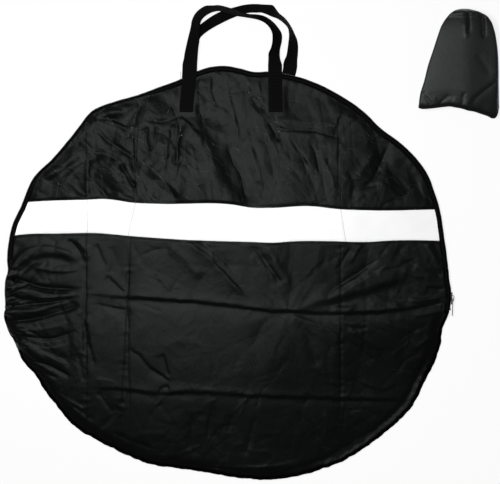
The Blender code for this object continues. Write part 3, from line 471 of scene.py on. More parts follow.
def crumple(x, y, seed):
    """Small creases of handled cloth, in metres."""
    bend_x = x + 0.018 * noise_field(x, y, 0.09, seed + 7)
    bend_y = y + 0.018 * noise_field(x, y, 0.09, seed + 11)
    broad = noise_field(bend_x, bend_y, 0.13, seed)
    middle = 1 - 2 * np.abs(noise_field(bend_x, bend_y, 0.052, seed + 1))
    fine = 1 - 2 * np.abs(noise_field(bend_x, bend_y, 0.023, seed + 2))
    finest = 1 - 2 * np.abs(noise_field(bend_x, bend_y, 0.012, seed + 4))
    patch = 0.35 + 0.65 * smooth_step(0.5 + 1.4 * noise_field(x, y, 0.12, seed + 3))
    return (1.1 * broad + 0.30 * middle * patch + 0.14 * fine * patch + 0.04 * finest * patch) * MM


# Where the storage creases cross, in millimetres
FAN_POINT = (107, -39)

# Where the cloth is pulled to: a place in millimetres and how far round it the creases run towards it
PULLS = ((*FAN_POINT, 150), (-400, -16, 150), (-70, 322, 120), (84, 318, 110), (398, -12, 130))


def loose_creases(count, seed):
    """Short creases all over the front, most of them along the way that the cloth is pulled."""
    chance = np.random.default_rng(seed)
    made = []
    for _ in range(count):
        turn, share = chance.uniform(0, 2 * pi), chance.uniform(0, 1) ** 0.5
        x, y = 384 * share * cos(turn), 384 * share * sin(turn) * (1 if turn < pi else 0.86)
        way = chance.normal(pi / 2, 0.9)
        strength = 0.75
        # Near a pull most creases point to it
        for pull_x, pull_y, reach in PULLS:
            near = np.exp(-((x - pull_x) ** 2 + (y - pull_y) ** 2) / reach**2)
            if chance.uniform(0, 0.8) < near:
                way = atan2(y - pull_y, x - pull_x) + chance.normal(0, 0.22)
                strength = 0.8 + 0.5 * near
        # Fainter in the calm field below the middle and close to the point where the storage creases cross
        if -170 < x < 190 and -185 < y < -48:
            strength *= 0.3
        off_x, off_y = x - FAN_POINT[0], y - FAN_POINT[1]
        strength *= 1 - 0.8 * np.exp(-(off_x**2 + off_y**2) / 60**2)
        length = chance.uniform(24, 80)
        bow = chance.normal(0, 0.10) * length
        ahead = np.array((cos(way), sin(way)))
        aside = np.array((-sin(way), cos(way)))
        middle = np.array((x, y))
        line = (middle - ahead * length / 2, middle + aside * bow, middle + ahead * length / 2)
        width = chance.uniform(2.6, 4.8)
        depth = chance.choice((-1, 1)) * chance.uniform(0.25, 0.85) * strength
        made.append((line, width, width * chance.uniform(0.8, 2.4), depth, chance.uniform(0.9, 1.3)))
    return made


# Flat facets of cloth that meet in that point: degrees and the slope along that way, below zero downwards
FAN = (
    (0, 0.000), (18, 0.030), (38, -0.020), (62, 0.010), (84, -0.035), (112, 0.020), (135, -0.020),
    (152, 0.015), (176, -0.012), (196, 0.010), (222, -0.020), (250, 0.018), (282, -0.016),
    (310, 0.022), (338, -0.014),
)


def fan_relief(x, y):
    """Height of the facets round the point where the storage creases cross."""
    off_x, off_y = x - FAN_POINT[0] * MM, y - FAN_POINT[1] * MM
    angle = np.mod(np.degrees(np.arctan2(off_y, off_x)), 360)
    places = [row[0] for row in FAN] + [360]
    slopes = [row[1] for row in FAN] + [FAN[0][1]]
    distance = np.hypot(off_x, off_y)
    rise, fade = 0.055, 0.19
    height = np.interp(angle, places, slopes) * rise * 2.4 * (1 - np.exp(-distance / rise))
    return height * np.exp(-((distance / fade) ** 2))


def fold_relief(x, y, folds):
    """The height that the folds add, in metres, at many places."""
    total = np.zeros_like(x)
    for line, left, right, depth, softness in folds:
        points = curve_points(line, 8.0) * MM
        reach = 3.0 * max(left, right) * MM
        low, high = points.min(axis=0) - reach, points.max(axis=0) + reach
        near = np.nonzero((x > low[0]) & (x < high[0]) & (y > low[1]) & (y < high[1]))[0]
        if not len(near):
            continue
        px, py = x[near], y[near]
        best = np.full(len(near), 1e9)
        side = np.zeros(len(near))
        along = np.zeros(len(near))
        for k, (start, end) in enumerate(zip(points, points[1:])):
            way = end - start
            share = np.clip(((px - start[0]) * way[0] + (py - start[1]) * way[1]) / (way @ way), 0, 1)
            off_x = px - start[0] - share * way[0]
            off_y = py - start[1] - share * way[1]
            distance = off_x**2 + off_y**2
            closer = distance < best
            best[closer] = distance[closer]
            side[closer] = (way[0] * off_y - way[1] * off_x)[closer]
            along[closer] = (k + share[closer]) / (len(points) - 1)
        taper = smooth_step(along / 0.22) * smooth_step((1 - along) / 0.22)
        far = np.sqrt(best)
        if softness:
            shape = np.exp(-((far / (np.where(side > 0, left, right) * 0.72 * MM)) ** softness))
        else:
            shape = np.tanh(2 * np.sign(side) * far / (left * MM)) * np.exp(-((far / (right * MM)) ** 2))
        total[near] += depth * MM * taper * shape
    return total


def one_sided(folds):
    """The narrower folds with one steep side and one long side, as flattened cloth has them."""
    made = []
    for k, (line, left, right, depth, softness) in enumerate(folds):
        if softness > 1.0 and max(left, right) < 12:
            steep, long = 3.0, left + right
            left, right = (long, steep) if left > right or (left == right and k % 2) else (steep, long)
            depth, softness = depth * 0.72, min(softness, 1.15)
        made.append((line, left, right, depth, softness))
    return made


def facets(u, v, seed, notch=0.35, last_row=None):
    """Cloth that was crumpled and laid flat: random corners joined by flat triangles, with a pinched
    crease along their sides. u and v count in corners, up to the last row if it is given, and the
    heights lie between -1 and 1."""
    chance = np.random.default_rng(seed)
    tops = (u.max(), v.max() if last_row is None else last_row)
    columns, rows = (np.arange(floor(line.min()) - 1, ceil(top) + 2) for line, top in zip((u, v), tops))
    spots = np.array([(a, b) for a in columns for b in rows], float)
    spots += chance.uniform(-0.46, 0.46, spots.shape)
    found = delaunay_2d_cdt([Vector(spot) for spot in spots], [], [], 0, 1e-6)
    corners = np.array([tuple(spot) for spot in found[0]])
    heights = chance.uniform(-1, 1, len(corners))
    total = np.zeros_like(u)
    pinch = {}
    for face in found[2]:
        near = corners[face]
        top, bottom = near.max(axis=0), near.min(axis=0)
        inside = np.nonzero((u >= bottom[0]) & (u <= top[0]) & (v >= bottom[1]) & (v <= top[1]))[0]
        if not len(inside):
            continue
        sides = near[1:] - near[0]
        area = sides[0, 0] * sides[1, 1] - sides[0, 1] * sides[1, 0]
        off_u, off_v = u[inside] - near[0, 0], v[inside] - near[0, 1]
        second = (off_u * sides[1, 1] - off_v * sides[1, 0]) / area
        third = (off_v * sides[0, 0] - off_u * sides[0, 1]) / area
        shares = (1 - second - third, second, third)
        kept = (shares[0] >= 0) & (second >= 0) & (third >= 0)
        height = sum(share * heights[corner] for share, corner in zip(shares, face))
        for k in range(3):
            across = near[(k + 2) % 3] - near[(k + 1) % 3]
            reach = abs(area) / np.hypot(*across)
            pair = tuple(sorted((face[(k + 1) % 3], face[(k + 2) % 3])))
            depth = pinch.setdefault(pair, chance.uniform(0, 1) ** 1.5)
            height = height - notch * depth * np.exp(-((shares[k] * reach / 0.07) ** 1.2))
        total[inside[kept]] = height[kept]
    return total


def crumpled(x, y):
    """The facets all over the front, in metres: small and sharp in the upper left, faint in the middle."""
    sway_x = x + 0.010 * noise_field(x, y, 0.08, 3.0)
    sway_y = y + 0.010 * noise_field(x, y, 0.08, 5.0)
    # ahead runs along the leaning creases and aside across them
    ahead = x * cos(CREASE_LEAN) + y * sin(CREASE_LEAN)
    aside = y * cos(CREASE_LEAN) - x * sin(CREASE_LEAN)
    upper = smooth_step((y - UPPER_CLOTH_Y) / 0.04)
    upper_left = smooth_step((-x - 0.02 + (y - 0.2) * 0.3) / 0.10) * upper
    upper_right = smooth_step((x - 0.12) / 0.10) * upper
    middle = np.exp(-(((x + 0.02) / 0.20) ** 2 + ((y + 0.10) / 0.13) ** 2))
    # Long facets for the upper left, broad ones for all over and hanging ones for the upper part
    first = facets(ahead / 0.060, aside / 0.024, 3)
    second = facets(sway_x / 0.042, sway_y / 0.052, 5)
    third = facets((x * 0.94 + y * 0.34) / 0.024, (y * 0.94 - x * 0.34) / 0.075, 9)
    # Pleats that spread from a point outside the left end of the zip
    knot_x, knot_y = x + 0.43, y + 0.03
    spread, reach = np.arctan2(knot_y, knot_x) / radians(7), np.hypot(knot_x, knot_y) / 0.055
    beside_knot = smooth_step((0.13 - np.abs(y + 0.02)) / 0.05)
    gathered = np.exp(-((reach / 2.7) ** 4)) * smooth_step(reach / 0.8) * beside_knot
    pleats = facets(spread, reach, 13, 0.5, last_row=4.0)
    total = 2.0 * upper_left * first
    total = total + (0.9 + 0.9 * upper_left + 0.5 * upper_right) * (1 - 0.6 * middle) * second
    total = total + 0.9 * upper * (1 - 0.5 * upper_left) * third + 1.5 * gathered * pleats
    return total * MM


# Lines where the bag was folded for storage, at which the cloth puckers: place in metres and lean
STORAGE_LINES = ((-0.1775, 0.06), (0.2005, 0.0), (-0.2515, -0.002))


def storage_puckers(x, y):
    """Small ripples across the storage creases, in metres."""
    total = np.zeros_like(x)
    for place, lean in STORAGE_LINES:
        off = np.abs(x - place - lean * y)
        patch = smooth_step(0.5 + 1.6 * noise_field(x * 0.2, y, 0.045, place * 90))
        total = total + noise_field(x * 0.35, y, 0.010, place * 50) * patch * np.exp(-off / (6 * MM))
    return 1.1 * MM * total


def lower_lean(x, y):
    """How far the lower right of the front sinks, in metres."""
    return 8 * MM * smooth_step((x - 0.01) / 0.28) * smooth_step((-0.035 - y) / 0.14)


@cache
def relief_map():
    """The folds and creases of the front on a fine grid, worked out once."""
    sizes = bpy.context.scene.wheel_bag_sizes
    line = np.arange(-MAP_REACH, MAP_REACH + MAP_STEP / 2, MAP_STEP)
    x, y = (part.ravel() for part in np.meshgrid(line, line, indexing="ij"))
    wander = MM * (1 - 0.75 * smooth_step((-0.25 - x) / 0.04) * smooth_step((0.1 - y) / 0.04))
    warped_x = x + (1.6 * noise_field(x, y, 0.026, 61.0) + 0.8 * noise_field(x, y, 0.010, 63.0)) * wander
    warped_y = y + (1.6 * noise_field(x, y, 0.026, 65.0) + 0.8 * noise_field(x, y, 0.010, 67.0)) * wander
    uneven = 0.66 + 0.28 * noise_field(x, y, 0.035, 69.0)
    folds = uneven * fold_relief(warped_x, warped_y, one_sided(FOLDS)) + 0.25 * fan_relief(x, y)
    loose = fold_relief(warped_x, warped_y, loose_creases(230, 8))
    small = crumple(x, y, 0.4) + crumpled(x, y) + loose + storage_puckers(x, y)
    relief = sizes.fold_depth * folds + sizes.crumple * small - lower_lean(x, y)
    return relief.reshape(len(line), len(line))


def read_map(values, x, y):
    """Values of the fine grid between its points."""
    u, v = ((np.clip(part, -MAP_REACH, MAP_REACH * 0.999) + MAP_REACH) / MAP_STEP for part in (x, y))
    column, row = np.floor(u).astype(int), np.floor(v).astype(int)
    u, v = u - column, v - row
    left = values[column, row] * (1 - v) + values[column, row + 1] * v
    right = values[column + 1, row] * (1 - v) + values[column + 1, row + 1] * v
    return left * (1 - u) + right * u


def leg_share(x, y):
    """1 under the sewn ends of the front handle, 0 elsewhere."""
    share = np.zeros_like(x)
    for foot in (LEFT_FOOT_X, RIGHT_FOOT_X):
        beside = smooth_step((24 * MM - np.abs(x - foot)) / (11 * MM))
        share = np.maximum(share, beside * smooth_step((y - SEWN_END_Y + 10 * MM) / (10 * MM)))
    return share


def band_edges(x):
    """The white band's top and bottom edges, in metres."""
    return table_curve(BAND_TOP, x / MM) * MM, table_curve(BAND_BOTTOM, x / MM) * MM


def band_share(x, y):
    """1 under the white band, 0 away from it."""
    top, bottom = band_edges(x)
    inside = np.minimum(top - y, y - bottom)
    return smooth_step(0.5 + inside / (12 * MM))


def beside_band(x, y):
    """1 along the two edges of the white band, where the cloth is drawn in by its seam."""
    top, bottom = band_edges(x)
    off = np.minimum(np.abs(y - top - 1.5 * MM), np.abs(y - bottom + 1.5 * MM))
    return np.exp(-((off / (2.2 * MM)) ** 2))


def front_surface(x, y):
    """Height of the front's outer side at many places, folds included."""
    sizes = bpy.context.scene.wheel_bag_sizes
    radius = np.hypot(x, y)
    angle = np.degrees(np.arctan2(y, x))
    edge = cloth_radius(angle)
    inside = np.maximum(edge - radius, 0.0)
    # The body: it swells on both sides of the fold line and sinks towards the bottom
    swell = (1 - np.minimum(radius / edge, 1.0) ** 2) * (0.5 + 0.5 * smooth_step(np.abs(y - FOLD_Y) / 0.2))
    body = RIM_Z - 0.3 * MM + sizes.crown * swell
    body = body - 4.5 * MM * smooth_step((-y - 0.04) / 0.28)
    # Along the sewn lower edge it rolls down to the seam
    rise = np.clip((inside - 1 * MM) / (26 * MM), 0.0, 1.0)
    rounded = SEAM_Z + (body - SEAM_Z) * (1 - (1 - rise) ** 2.6)
    share = seam_share(angle)
    height = body * (1 - share) + rounded * share
    # The folds fade at the rim, though less at its bunched left end, and under the band and the handle
    left_end = smooth_step((-x - 0.33) / 0.05) * smooth_step((0.11 - np.abs(y + 0.03)) / 0.04)
    rim_quiet = smooth_step(inside / ((16 - 10 * left_end) * MM)) * (1 - 0.3 * left_end) + 0.3 * left_end
    quiet = rim_quiet * (1 - 0.72 * band_share(x, y)) * (1 - 0.92 * leg_share(x, y))
    relief = read_map(relief_map(), x, y)
    # The zip draws puckers into the rim, and the bunched cloth is knotted
    around = angle / 57.3 * ZIP_RADIUS
    pucker = noise_field(around, radius * 0.2, 0.013, 5.0)
    bunched = gathered_share(angle)
    pucker = pucker * np.exp(-inside / (9 * MM)) * smooth_step(inside / (4 * MM)) * (1 - bunched)
    knots = noise_field(radius * 0.5, around, 0.011, 83.0) * np.exp(-inside / (16 * MM))
    knots = knots + 0.7 * np.abs(noise_field(x, y, 0.009, 85.0)) * np.exp(-inside / (12 * MM))
    height = height + bunched * MM * (3.4 * knots + 1.6 * np.exp(-inside / (12 * MM)))
    height = height + relief * quiet + 1.3 * MM * pucker - 1.2 * MM * beside_band(x, y)
    return np.maximum(height, SEAM_Z - 0.6 * MM)


def clear_selection():
    """Leaves no object selected or active."""
    bpy.ops.object.select_all(action="DESELECT")
    bpy.context.view_layer.objects.active = None


def choose(piece):
    """Makes the piece the only selected object and the active one."""
    clear_selection()
    piece.select_set(True)
    bpy.context.view_layer.objects.active = piece


def started(name):
    """Names the primitive that an operator has just added."""
    piece = bpy.context.view_layer.objects.active
    piece.name = name
    piece.data.name = name
    return piece


def block(name, size, spot=(0, 0, 0)):
    """A plain block of that size round its place."""
    clear_selection()
    bpy.ops.mesh.primitive_cube_add(size=1, location=spot, scale=size)
    piece = started(name)
    bpy.ops.object.transform_apply(location=True, rotation=False, scale=True)
    return piece


def rounded_block(name, size, spot, bevel, segments):
    """A block with all its edges rounded."""
    piece = block(name, size, spot)
    with_modifier(piece, "BEVEL", width=bevel, segments=segments, limit_method="NONE")
    return piece


def round_corners(piece, width, angle):
    """Rounds the edges that are sharper than an angle in degrees."""
    settings = {"limit_method": "ANGLE", "angle_limit": radians(angle)}
    with_modifier(piece, "BEVEL", width=width, segments=3, **settings)


def join_to(piece, extras):
    """Joins the other objects into the piece."""
    choose(piece)
    for extra in extras:
        extra.select_set(True)
    bpy.ops.object.join()


@contextmanager
def edited(piece):
    """Opens the piece's mesh for mesh operators and writes it back at the end."""
    shape = bmesh.new()
    shape.from_mesh(piece.data)
    yield shape
    shape.to_mesh(piece.data)
    shape.free()


def with_modifier(piece, kind, **settings):
    """Adds one modifier and applies it."""
    choose(piece)
    modifier = piece.modifiers.new(kind.lower(), kind)
    for key, value in settings.items():
        setattr(modifier, key, value)
    bpy.ops.object.modifier_apply(modifier=modifier.name)


def smooth_shaded(piece, angle=None):
    """Shades the piece smoothly, all over or up to an angle in degrees."""
    choose(piece)
    if angle is None:
        bpy.ops.object.shade_smooth()
    else:
        bpy.ops.object.shade_smooth_by_angle(angle=radians(angle))


def thicken(piece, thickness, angle=None, offset=-1.0):
    """Gives a sheet its thickness, on its under side unless told otherwise, and shades it smoothly."""
    with_modifier(piece, "SOLIDIFY", thickness=thickness, offset=offset)
    smooth_shaded(piece, angle)


def points_of(mesh):
    """The mesh's points as rows of x, y and z."""
    flat = np.empty(len(mesh.vertices) * 3)
    mesh.vertices.foreach_get("co", flat)
    return flat.reshape(-1, 3)


def sheet_grid(name, columns, rows, place, size=None):
    """A grid of cloth. place takes its two coordinates, each from -1 to 1, and gives x, y and z."""
    clear_selection()
    bpy.ops.mesh.primitive_grid_add(x_subdivisions=columns, y_subdivisions=rows, size=2, calc_uvs=True)
    piece = started(name)
    mesh = piece.data
    grid = points_of(mesh)
    if size:
        corner = np.empty(len(mesh.loops), int)
        mesh.loops.foreach_get("vertex_index", corner)
        spots = (grid[corner, :2] + 1) / 2 * np.array(size)
        mesh.uv_layers.active.data.foreach_set("uv", spots.astype(np.float32).ravel())
    x, y, z = place(grid[:, 0], grid[:, 1])
    mesh.vertices.foreach_set("co", np.column_stack((x, y, z)).ravel())
    mesh.update()
    return piece


def copies(name, model, matrices):
    """One mesh that holds a copy of the model's mesh at each matrix. The model itself is removed."""
    points = points_of(model.data)
    faces = [tuple(face.vertices) for face in model.data.polygons]
    all_points, all_faces = [], []
    for matrix in matrices:
        turn = np.array(matrix)
        start = len(points) * len(all_points)
        all_points.append(points @ turn[:3, :3].T + turn[:3, 3])
        all_faces += [tuple(corner + start for corner in face) for face in faces]
    joined = bpy.data.meshes.new(name)
    joined.from_pydata(np.concatenate(all_points).tolist(), [], all_faces)
    joined.update()
    bpy.data.objects.remove(model, do_unlink=True)
    piece = bpy.data.objects.new(name, joined)
    bpy.context.scene.collection.objects.link(piece)
    return piece


def settle(piece, matrix):
    """Moves the piece by a matrix, in its mesh, and turns its faces out again if the matrix mirrors it."""
    piece.matrix_world = matrix @ piece.matrix_world
    choose(piece)
    bpy.ops.object.transform_apply(location=True, rotation=True, scale=True)
    if matrix.determinant() < 0:
        piece.data.flip_normals()


def dress(piece, material, body=None, nodes=()):
    """Gives a finished piece its material, the body that it rides on and the nodes that it stands for."""
    piece.data.materials.clear()
    piece.data.materials.append(material)
    if body:
        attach(piece, body)
    if nodes:
        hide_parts(*nodes)
    clear_selection()
    return piece


class Value:
    """A number that varies over a surface: the socket that carries it, for writing sums in plain form."""

    def __init__(self, finish, socket):
        self.finish = finish
        self.socket = socket

    def sum(self, operation, first, second=None):
        """The result of one sum with one or two numbers."""
        values = {0: first} if second is None else {0: first, 1: second}
        return self.finish.node("ShaderNodeMath", {"operation": operation}, values)

    def __add__(self, other):
        return self.sum("ADD", self, other)

    def __radd__(self, other):
        return self.sum("ADD", other, self)

    def __sub__(self, other):
        return self.sum("SUBTRACT", self, other)

    def __rsub__(self, other):
        return self.sum("SUBTRACT", other, self)

    def __mul__(self, other):
        return self.sum("MULTIPLY", self, other)

    def __rmul__(self, other):
        return self.sum("MULTIPLY", other, self)

    def __truediv__(self, other):
        return self.sum("DIVIDE", self, other)

    def __rtruediv__(self, other):
        return self.sum("DIVIDE", other, self)

    def __abs__(self):
        return self.sum("ABSOLUTE", self)

    def sine(self):
        return self.sum("SINE", self)

    def at_least(self, other):
        return self.sum("MAXIMUM", self, other)

    def step(self, low, high):
        """0 below low, 1 above high and a smooth change between."""
        settings = {"interpolation_type": "SMOOTHSTEP"}
        return self.finish.node("ShaderNodeMapRange", settings, {0: self, 1: low, 2: high, 3: 0.0, 4: 1.0})


class Finish:
    """A material under construction."""

    def __init__(self, name):
        self.material = bpy.data.materials.new(name)
        self.material.use_nodes = True
        self.tree = self.material.node_tree
        self.shader = self.tree.nodes["Principled BSDF"]

    def node(self, kind, settings=None, values=None, out=0):
        """Any node: its settings first, then the values or links of its sockets. Gives one of its outputs."""
        made = self.tree.nodes.new(kind)
        for key, value in (settings or {}).items():
            setattr(made, key, value)
        for key, value in (values or {}).items():
            self.join(value, made.inputs[key])
        return Value(self, made.outputs[out])

    def join(self, value, socket):
        """Links a value to a socket, or sets the socket to a plain number, vector or colour."""
        if isinstance(value, Value):
            self.tree.links.new(value.socket, socket)
        else:
            socket.default_value = value

    def set(self, **sockets):
        """Sets or links sockets of the shader, named with _ for a space."""
        for key, value in sockets.items():
            self.join(value, self.shader.inputs[key.replace("_", " ")])

    def place(self, which="Object"):
        """Where a point of the surface lies, in the object's space or on its UV map."""
        return self.node("ShaderNodeTexCoord", out=which)

    def outputs(self, value, *names):
        """More outputs of the node that made the value."""
        return tuple(Value(self, value.socket.node.outputs[name]) for name in names)

    def parts(self, vector):
        """The vector's x, y and z."""
        return self.outputs(self.node("ShaderNodeSeparateXYZ", {}, {0: vector}), 0, 1, 2)

    def cloud(self, vector, scale, detail=2.0, roughness=0.5, distortion=0.0):
        """Noise from 0 to 1. The scale is in bumps per metre."""
        values = {"Vector": vector, "Scale": scale, "Detail": detail, "Roughness": roughness}
        return self.node("ShaderNodeTexNoise", {}, {**values, "Distortion": distortion})

    def vectors(self, operation, *values, out=0):
        """A sum with vectors."""
        return self.node("ShaderNodeVectorMath", {"operation": operation}, dict(enumerate(values)), out)

    def facets(self, vector, turn, sizes):
        """Height of flat facets of these sizes, long along the turned X, each leaning its own way."""
        noise = {"Vector": vector, "Scale": 14.0, "Detail": 2.0}
        sway = self.node("ShaderNodeTexNoise", {}, noise, out="Color")
        sway = self.vectors("MULTIPLY_ADD", sway, (0.03,) * 3, vector)
        turned = {"Vector": sway, "Rotation": (0.0, 0.0, -turn)}
        turned = self.node("ShaderNodeMapping", {"vector_type": "POINT"}, turned)
        scale = (1 / sizes[0], 1 / sizes[1], 0.0)
        spot = self.node("ShaderNodeMapping", {}, {"Vector": turned, "Scale": scale})
        flat = {"voronoi_dimensions": "2D"}
        cells = self.node("ShaderNodeTexVoronoi", flat, {"Vector": spot, "Scale": 1.0})
        middle, tint = self.outputs(cells, "Position", "Color")
        off = self.vectors("SUBTRACT", spot, middle)
        lean = self.vectors("SUBTRACT", tint, (0.5,) * 3)
        return self.vectors("DOT_PRODUCT", off, lean, out="Value")

    def blend(self, share, first, second):
        """A colour between two colours."""
        return self.node("ShaderNodeMix", {"data_type": "RGBA"}, {0: share, 6: first, 7: second}, out=2)

    def bump(self, height, distance, strength=1.0, under=None):
        """A normal for the height, on top of the normal under it if there is one."""
        values = {"Height": height, "Distance": distance, "Strength": strength}
        if under is not None:
            values["Normal"] = under
        return self.node("ShaderNodeBump", {}, values)


def shade(name, factor=1.0):
    """One of the user's colours, made darker or lighter."""
    colour = getattr(bpy.context.scene.wheel_bag_colours, name)
    return (*(part * factor for part in colour[:3]), 1.0)


def material_named(make, name, **settings):
    """The material of that name, made the first time that it is asked for."""
    return bpy.data.materials.get(name) or make(name, **settings)


def nylon(name, crease_lines=False, shine=0.058, dull=0.0):
    """Thin black woven nylon with a faint shine, lightly crumpled all over, with painted shade darkening its
    creases.
    """
    finish = Finish(name)
    spot = finish.place()
    x, y, _ = finish.parts(spot)
    turn = 2 * pi / bpy.context.scene.wheel_bag_sizes.weave
    weave = (x * turn).sine() * (y * turn).sine()
    # Small crumples and grain, with painted shade along the crumples' valley lines
    wrinkle = finish.cloud(spot, 55.0, 4.0, 0.6, 0.8)
    ridges = abs(wrinkle - 0.5) * 2.0
    patches = finish.cloud(spot, 9.0, 3.0, 0.55)
    fine = finish.cloud(spot, 160.0, 2.0, 0.5)
    height = ridges * 0.33 + fine * 0.17
    painted_crease_shade = ridges.step(0.05, 0.0) * 0.25
    if crease_lines:
        # The storage creases, darkened with painted shade, and flat facets that are strongest in the upper
        # left
        for place, lean in STORAGE_LINES:
            across = abs(x - y * lean - place)
            line = across.step(1.3 * MM, 0.2 * MM) * y.step(-0.26, -0.22) * y.step(0.31, 0.27)
            painted_crease_shade = painted_crease_shade.at_least(line * 0.8)
            height = height - line * 0.5
        upper = y.step(0.12, 0.16)
        left = (x - y * 0.3).step(-0.06, -0.16)
        slanted = finish.facets(spot, CREASE_LEAN, (0.075, 0.026))
        slanted = slanted * (0.07 + upper * 0.18 + upper * left * 0.75)
        fallen = finish.facets(spot, radians(-72), (0.085, 0.030)) * (0.08 + upper * 0.49)
        height = height + (slanted * 11.0 + fallen * 8.0)
    base = finish.blend(patches.step(0.35, 0.7), shade("nylon", 0.85), shade("nylon", 1.2))
    # Painted shade: the nylon's colour is darkened along the creases
    base = finish.blend(painted_crease_shade, base, shade("nylon", 0.35))
    soft = finish.bump(height, 0.5 * MM, 1.0)
    woven = finish.bump(weave, 0.05 * MM, 0.5, under=soft)
    roughness = 0.34 + dull + patches * 0.06 + fine * 0.04
    finish.set(Base_Color=base, Roughness=roughness, Normal=woven)
    finish.set(Specular_IOR_Level=shine, Specular_Tint=(0.94, 1.0, 0.97, 1.0))
    finish.set(Sheen_Weight=0.45, Sheen_Roughness=0.35, Sheen_Tint=(0.80, 0.84, 0.82, 1.0))
    return finish.material


def reflective_cloth(name):
    """White glass-bead cloth: matt white with a pearly grain, and grey lines of painted shade where it was
    folded.
    """
    finish = Finish(name)
    spot = finish.place()
    x, y, _ = finish.parts(spot)
    grain = finish.cloud(spot, 1400.0, 1.0, 0.5)
    wave = finish.cloud(spot, 26.0, 3.0, 0.5)
    # Painted shade: grey lines along the folds, where the cloth dips
    lines = abs(x + 0.2500).step(1.5 * MM, 0.2 * MM)
    for distance in (abs(x - y * 0.22 + 0.1985), abs(x + y * 0.16 - 0.2230)):
        lines = lines.at_least(distance.step(1.5 * MM, 0.2 * MM))
    lines = lines * finish.cloud(spot, 45.0, 1.0).step(0.30, 0.55)
    tone = finish.blend(wave.step(0.35, 0.75), shade("band"), shade("band", 0.965))
    tone = finish.blend(lines * 0.55, tone, (0.42, 0.42, 0.43, 1.0))
    height = wave * 0.5 + grain * 0.06 - lines * 0.6
    finish.set(Base_Color=tone, Roughness=0.55 + grain * 0.1, Normal=finish.bump(height, 0.5 * MM, 0.5))
    finish.set(Specular_IOR_Level=0.35)
    return finish.material


def webbing(name):
    """Black polypropylene webbing: ribs along it, a herringbone weave across, and bound edges."""
    sizes = bpy.context.scene.wheel_bag_sizes
    finish = Finish(name)
    along, across, _ = finish.parts(finish.place("UV"))
    turn = 2 * pi / sizes.webbing_rib
    ribs = (across * turn).sine()
    slant = (along * (turn * 0.55) + abs((across * (turn / 4)).sine()) * 3.0).sine()
    half = sizes.webbing_width / 2
    bound = abs(across - half).step(half - 1.8 * MM, half - 1.2 * MM)
    fuzz = finish.cloud(finish.place(), 900.0, 2.0)
    height = ribs * 0.30 + slant * 0.35 + fuzz * 0.25 - bound * 0.25
    tone = finish.blend(slant.step(-0.6, 0.9), shade("webbing", 0.75), shade("webbing", 1.35))
    finish.set(Base_Color=tone, Roughness=0.70 + fuzz * 0.15)
    finish.set(Normal=finish.bump(height, 0.28 * MM, 0.8), Specular_IOR_Level=0.03)
    return finish.material


def zip_tape(name):
    """Black woven zip tape with fine ribs along it and a sewn line, and painted shade towards both edges of
    its width.
    """
    finish = Finish(name)
    along, across, _ = finish.parts(finish.place("UV"))
    ribs = (across * (2 * pi / (0.9 * MM))).sine() * (along * (2 * pi / (1.1 * MM))).sine()
    stitches = (along * (2 * pi / (3.0 * MM))).sine().step(-0.5, 0.1)
    seam = abs(across - 6.6 * MM).step(0.6 * MM, 0.2 * MM) * stitches
    fuzz = finish.cloud(finish.place(), 500.0, 2.0)
    # Painted shade: the tape is darkened towards both edges of its width
    edge = across.step(8.2 * MM, 9.6 * MM).at_least(across.step(6.2 * MM, 5.2 * MM))
    tone = finish.blend(edge.at_least(seam * 0.5), shade("tape"), shade("tape", 0.15))
    finish.set(Base_Color=tone, Roughness=0.50 + fuzz * 0.15 + edge * 0.3)
    finish.set(Normal=finish.bump(ribs * 0.3 + seam * 0.8 + fuzz * 0.2, 0.2 * MM, 0.5))
    finish.set(Specular_IOR_Level=0.02)
    return finish.material


def zip_plastic(name):
    """Moulded black teeth, with a slight shine and rubbed high spots."""
    finish = Finish(name)
    rub = finish.cloud(finish.place(), 300.0, 2.0)
    tone = finish.blend(rub.step(0.45, 0.8), shade("teeth"), shade("teeth", 1.8))
    finish.set(Base_Color=tone, Roughness=0.30 + rub * 0.2, Normal=finish.bump(rub, 0.05 * MM, 0.6))
    return finish.material


def dark_metal(name):
    """Black-lacquered zinc with a little bare metal on its wear marks."""
    finish = Finish(name)
    spot = finish.place()
    scuff = finish.cloud(spot, 420.0, 4.0, 0.65)
    speck = finish.cloud(spot, 1500.0, 1.0)
    worn = scuff.step(0.62, 0.78)
    tone = finish.blend(worn, shade("metal"), shade("metal", 3.2))
    finish.set(Base_Color=tone, Metallic=0.55 + worn * 0.4, Roughness=0.26 + scuff * 0.25)
    finish.set(Normal=finish.bump(speck * 0.5 + scuff, 0.03 * MM, 0.5))
    return finish.material


def thread(name):
    """Twisted black sewing thread."""
    finish = Finish(name)
    x, y, z = finish.parts(finish.place())
    twist = ((x + y + z) * (2 * pi / (0.6 * MM))).sine()
    tone = finish.blend(twist.step(-0.5, 0.8), shade("webbing"), shade("webbing", 1.8))
    finish.set(Base_Color=tone, Roughness=0.62, Normal=finish.bump(twist, 0.06 * MM, 0.6))
    finish.set(Specular_IOR_Level=0.08)
    return finish.material


def disc_place(u, v):
    """The square from -1 to 1 laid onto a round: gives the share of the radius and the angle in degrees."""
    radius = np.maximum(np.abs(u), np.abs(v))
    wide = np.abs(u) >= np.abs(v)
    safe_u = np.where(np.abs(u) < 1e-12, 1e-12, u)
    safe_v = np.where(np.abs(v) < 1e-12, 1e-12, v)
    sideways = 45 * v / safe_u + np.where(u < 0, 180, 0)
    upright = 90 - 45 * u / safe_v + np.where(v < 0, 180, 0)
    return radius, np.where(wide, sideways, upright)


def front_place(u, v):
    """The front's outer side for the square from -1 to 1."""
    share, angle = disc_place(u, v)
    x, y = polar(share * cloth_radius(angle), angle)
    return x, y, front_surface(x, y)


